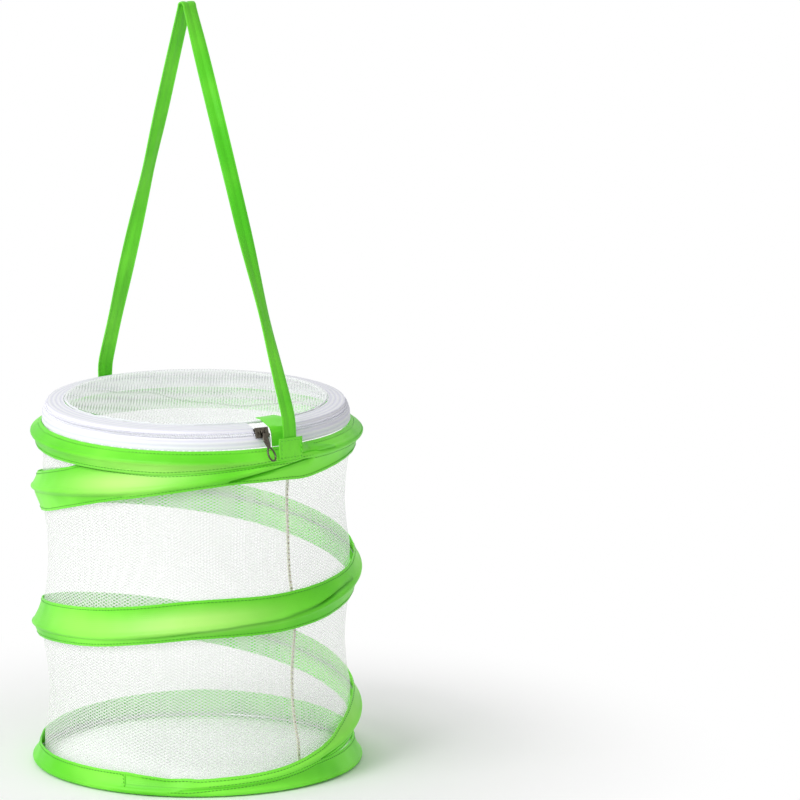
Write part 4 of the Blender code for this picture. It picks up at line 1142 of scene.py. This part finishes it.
springWire = dress(addObject("springWire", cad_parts["helix_wire"].data.copy()), steel)
for node in ("bottom_ring_wire", "top_ring_wire", "bottom_wire_sleeve", "top_wire_sleeve"):
    dress(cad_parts[node], steel)
for node in ("zip_slider", "zip_stop_start", "zip_stop_end"):
    dress(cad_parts[node], darkMetal)

# what each piece rides on

for obj, nodes, keep in (
    (casingHelix, ["helix_band"], 0.1656), (stitchesHelix, [], 0.1656), (springWire, ["helix_wire"], 0.1656),
    (nettingWall, ["wall_net"], 0.1887), (seamTape, ["wall_seam_tape"], 0.1887), (stitchesSeam, [], 0.1887),
):
    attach(obj, "base")
    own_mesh(obj)
    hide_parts(*nodes)
for obj, body, nodes in (
    (casingBottom, "base", ["bottom_band"]), (stitchesBottom, "base", []),
    (floorCloth, "base", ["floor_panel"]),
    (casingTop, "top_frame", ["top_band"]), (stitchesTop, "top_frame", []),
    (zipTapeFrame, "top_frame", ["frame_zip_tape"]), (zipTeethFrame, "top_frame", ["frame_zip_coil"]),
    (patchFront, "top_frame", ["strap_patch_front"]), (patchBack, "top_frame", ["strap_patch_back"]),
    (strapTail, "top_frame", []), (stitchesFront, "top_frame", []), (stitchesBack, "top_frame", []),
    (pullLoop, "pull_tab", ["zip_pull_tab"]), (strapRibbon, "strap", ["carry_strap"]),
):
    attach(obj, body)
    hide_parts(*nodes)
for obj, nodes in (
    (lidNetting, ["lid_net_near", "lid_net_far"]),
    (rimBinding, ["lid_rim_binding_near", "lid_rim_binding_far"]),
    (zipTapeLid, ["lid_zip_tape_near_left", "lid_zip_tape_near_right", "lid_zip_tape_far"]),
    (zipTeethLid, ["lid_zip_coil_near_left", "lid_zip_coil_near_right", "lid_zip_coil_far"]),
):
    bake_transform(obj)
    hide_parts(*nodes)
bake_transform(hingeTab)
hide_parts("lid_hinge_tab", "frame_hinge_tab")

print("pieces tied to their bodies")

# floor, light and camera

studio = {
    "sky": 0.52, "key": 98, "fill": 0.5, "back": 8, "floor": "#FAFAFA", "nearFloor": 0.15, "farFloor": 0.5,
}
view = {
    "azimuth": 54.5, "elevation": 12, "distance": 8, "lens": 398.5,
    "aside": 184.3 * mm, "height": 332.2 * mm,
}


def seenPlainly(tree):
    # 1 for a ray from the camera, off a gloss or through a clear piece
    rays = addNode(tree, "ShaderNodeLightPath")
    seen = addNode(tree, "ShaderNodeMath",
                   {0: rays.outputs["Is Camera Ray"], 1: rays.outputs["Is Glossy Ray"]}, operation="MAXIMUM")
    return addNode(tree, "ShaderNodeMath", {0: seen, 1: rays.outputs["Is Transmission Ray"]},
                   operation="MAXIMUM")


def buildWorld():
    world = bpy.data.worlds.new("paleRoom")
    bpy.context.scene.world = world
    world.use_nodes = True
    tree = world.node_tree
    tree.nodes.clear()
    strength = addNode(tree, "ShaderNodeMapRange",
                       {"Value": seenPlainly(tree), "To Min": studio["sky"], "To Max": 1.0})
    sky = addNode(tree, "ShaderNodeBackground", {"Color": (1, 1, 1, 1), "Strength": strength})
    addNode(tree, "ShaderNodeOutputWorld", {"Surface": sky})


def buildGround():
    bpy.ops.mesh.primitive_circle_add(vertices=96, radius=14, fill_type="NGON", location=(0, 0, -0.0005))
    ground = bpy.context.object
    ground.name = "studioFloor"
    made, tree, shader = blankMaterial("paleFloorPaint")
    # away from the cage the floor is plain white to the camera, and near it the shadow shows
    place = addNode(tree, "ShaderNodeTexCoord")
    away = addNode(tree, "ShaderNodeVectorMath", {0: place.outputs["Object"]}, operation="LENGTH")
    fade = {"Value": away.outputs["Value"], "From Min": studio["nearFloor"], "From Max": studio["farFloor"]}
    clear = addNode(tree, "ShaderNodeMapRange", fade, interpolation_type="SMOOTHSTEP")
    plain = addNode(tree, "ShaderNodeMath", {0: seenPlainly(tree), 1: clear}, operation="MULTIPLY")
    white = addNode(tree, "ShaderNodeEmission", {"Color": (1, 1, 1, 1), "Strength": 1.0})
    both = addNode(tree, "ShaderNodeMixShader", {0: plain, 1: shader, 2: white})
    addNode(tree, "ShaderNodeOutputMaterial", {"Surface": both}, is_active_output=True)
    plug(tree, shader, {"Base Color": linear(studio["floor"]), "Roughness": 0.9, "Specular IOR Level": 0.1})
    ground.data.materials.append(made)


def buildLights():
    for name, power, size, place in (
        ("keyLight", studio["key"], 2.2, (0.5, -3.1, 2.6)),
        ("fillLight", studio["fill"], 2.6, (3.4, 0.4, 1.6)),
        ("backLight", studio["back"], 2.0, (-2.2, 2.4, 2.4)),
    ):
        lamp = bpy.data.lights.new(name, "AREA")
        lamp.energy = power
        lamp.size = size
        holder = addObject(name, lamp)
        holder.location = place
        holder.rotation_euler = (Vector((0, 0, 0.25)) - Vector(place)).to_track_quat("-Z", "Y").to_euler()


def buildCamera():
    a, e = math.radians(view["azimuth"]), math.radians(view["elevation"])
    right = Vector((math.cos(a), math.sin(a), 0))
    towards = Vector((math.sin(a) * math.cos(e), -math.cos(a) * math.cos(e), math.sin(e)))
    aim = right * view["aside"] + Vector((0, 0, view["height"]))
    lens = bpy.data.cameras.new("photoCamera")
    lens.lens = view["lens"]
    lens.sensor_width = 36
    holder = addObject("photoCamera", lens)
    holder.location = aim + towards * view["distance"]
    holder.rotation_euler = (-towards).to_track_quat("-Z", "Y").to_euler()
    bpy.context.scene.camera = holder


buildWorld()
buildGround()
buildLights()
buildCamera()
bpy.context.scene.view_settings.view_transform = "Standard"
print("scene ready")
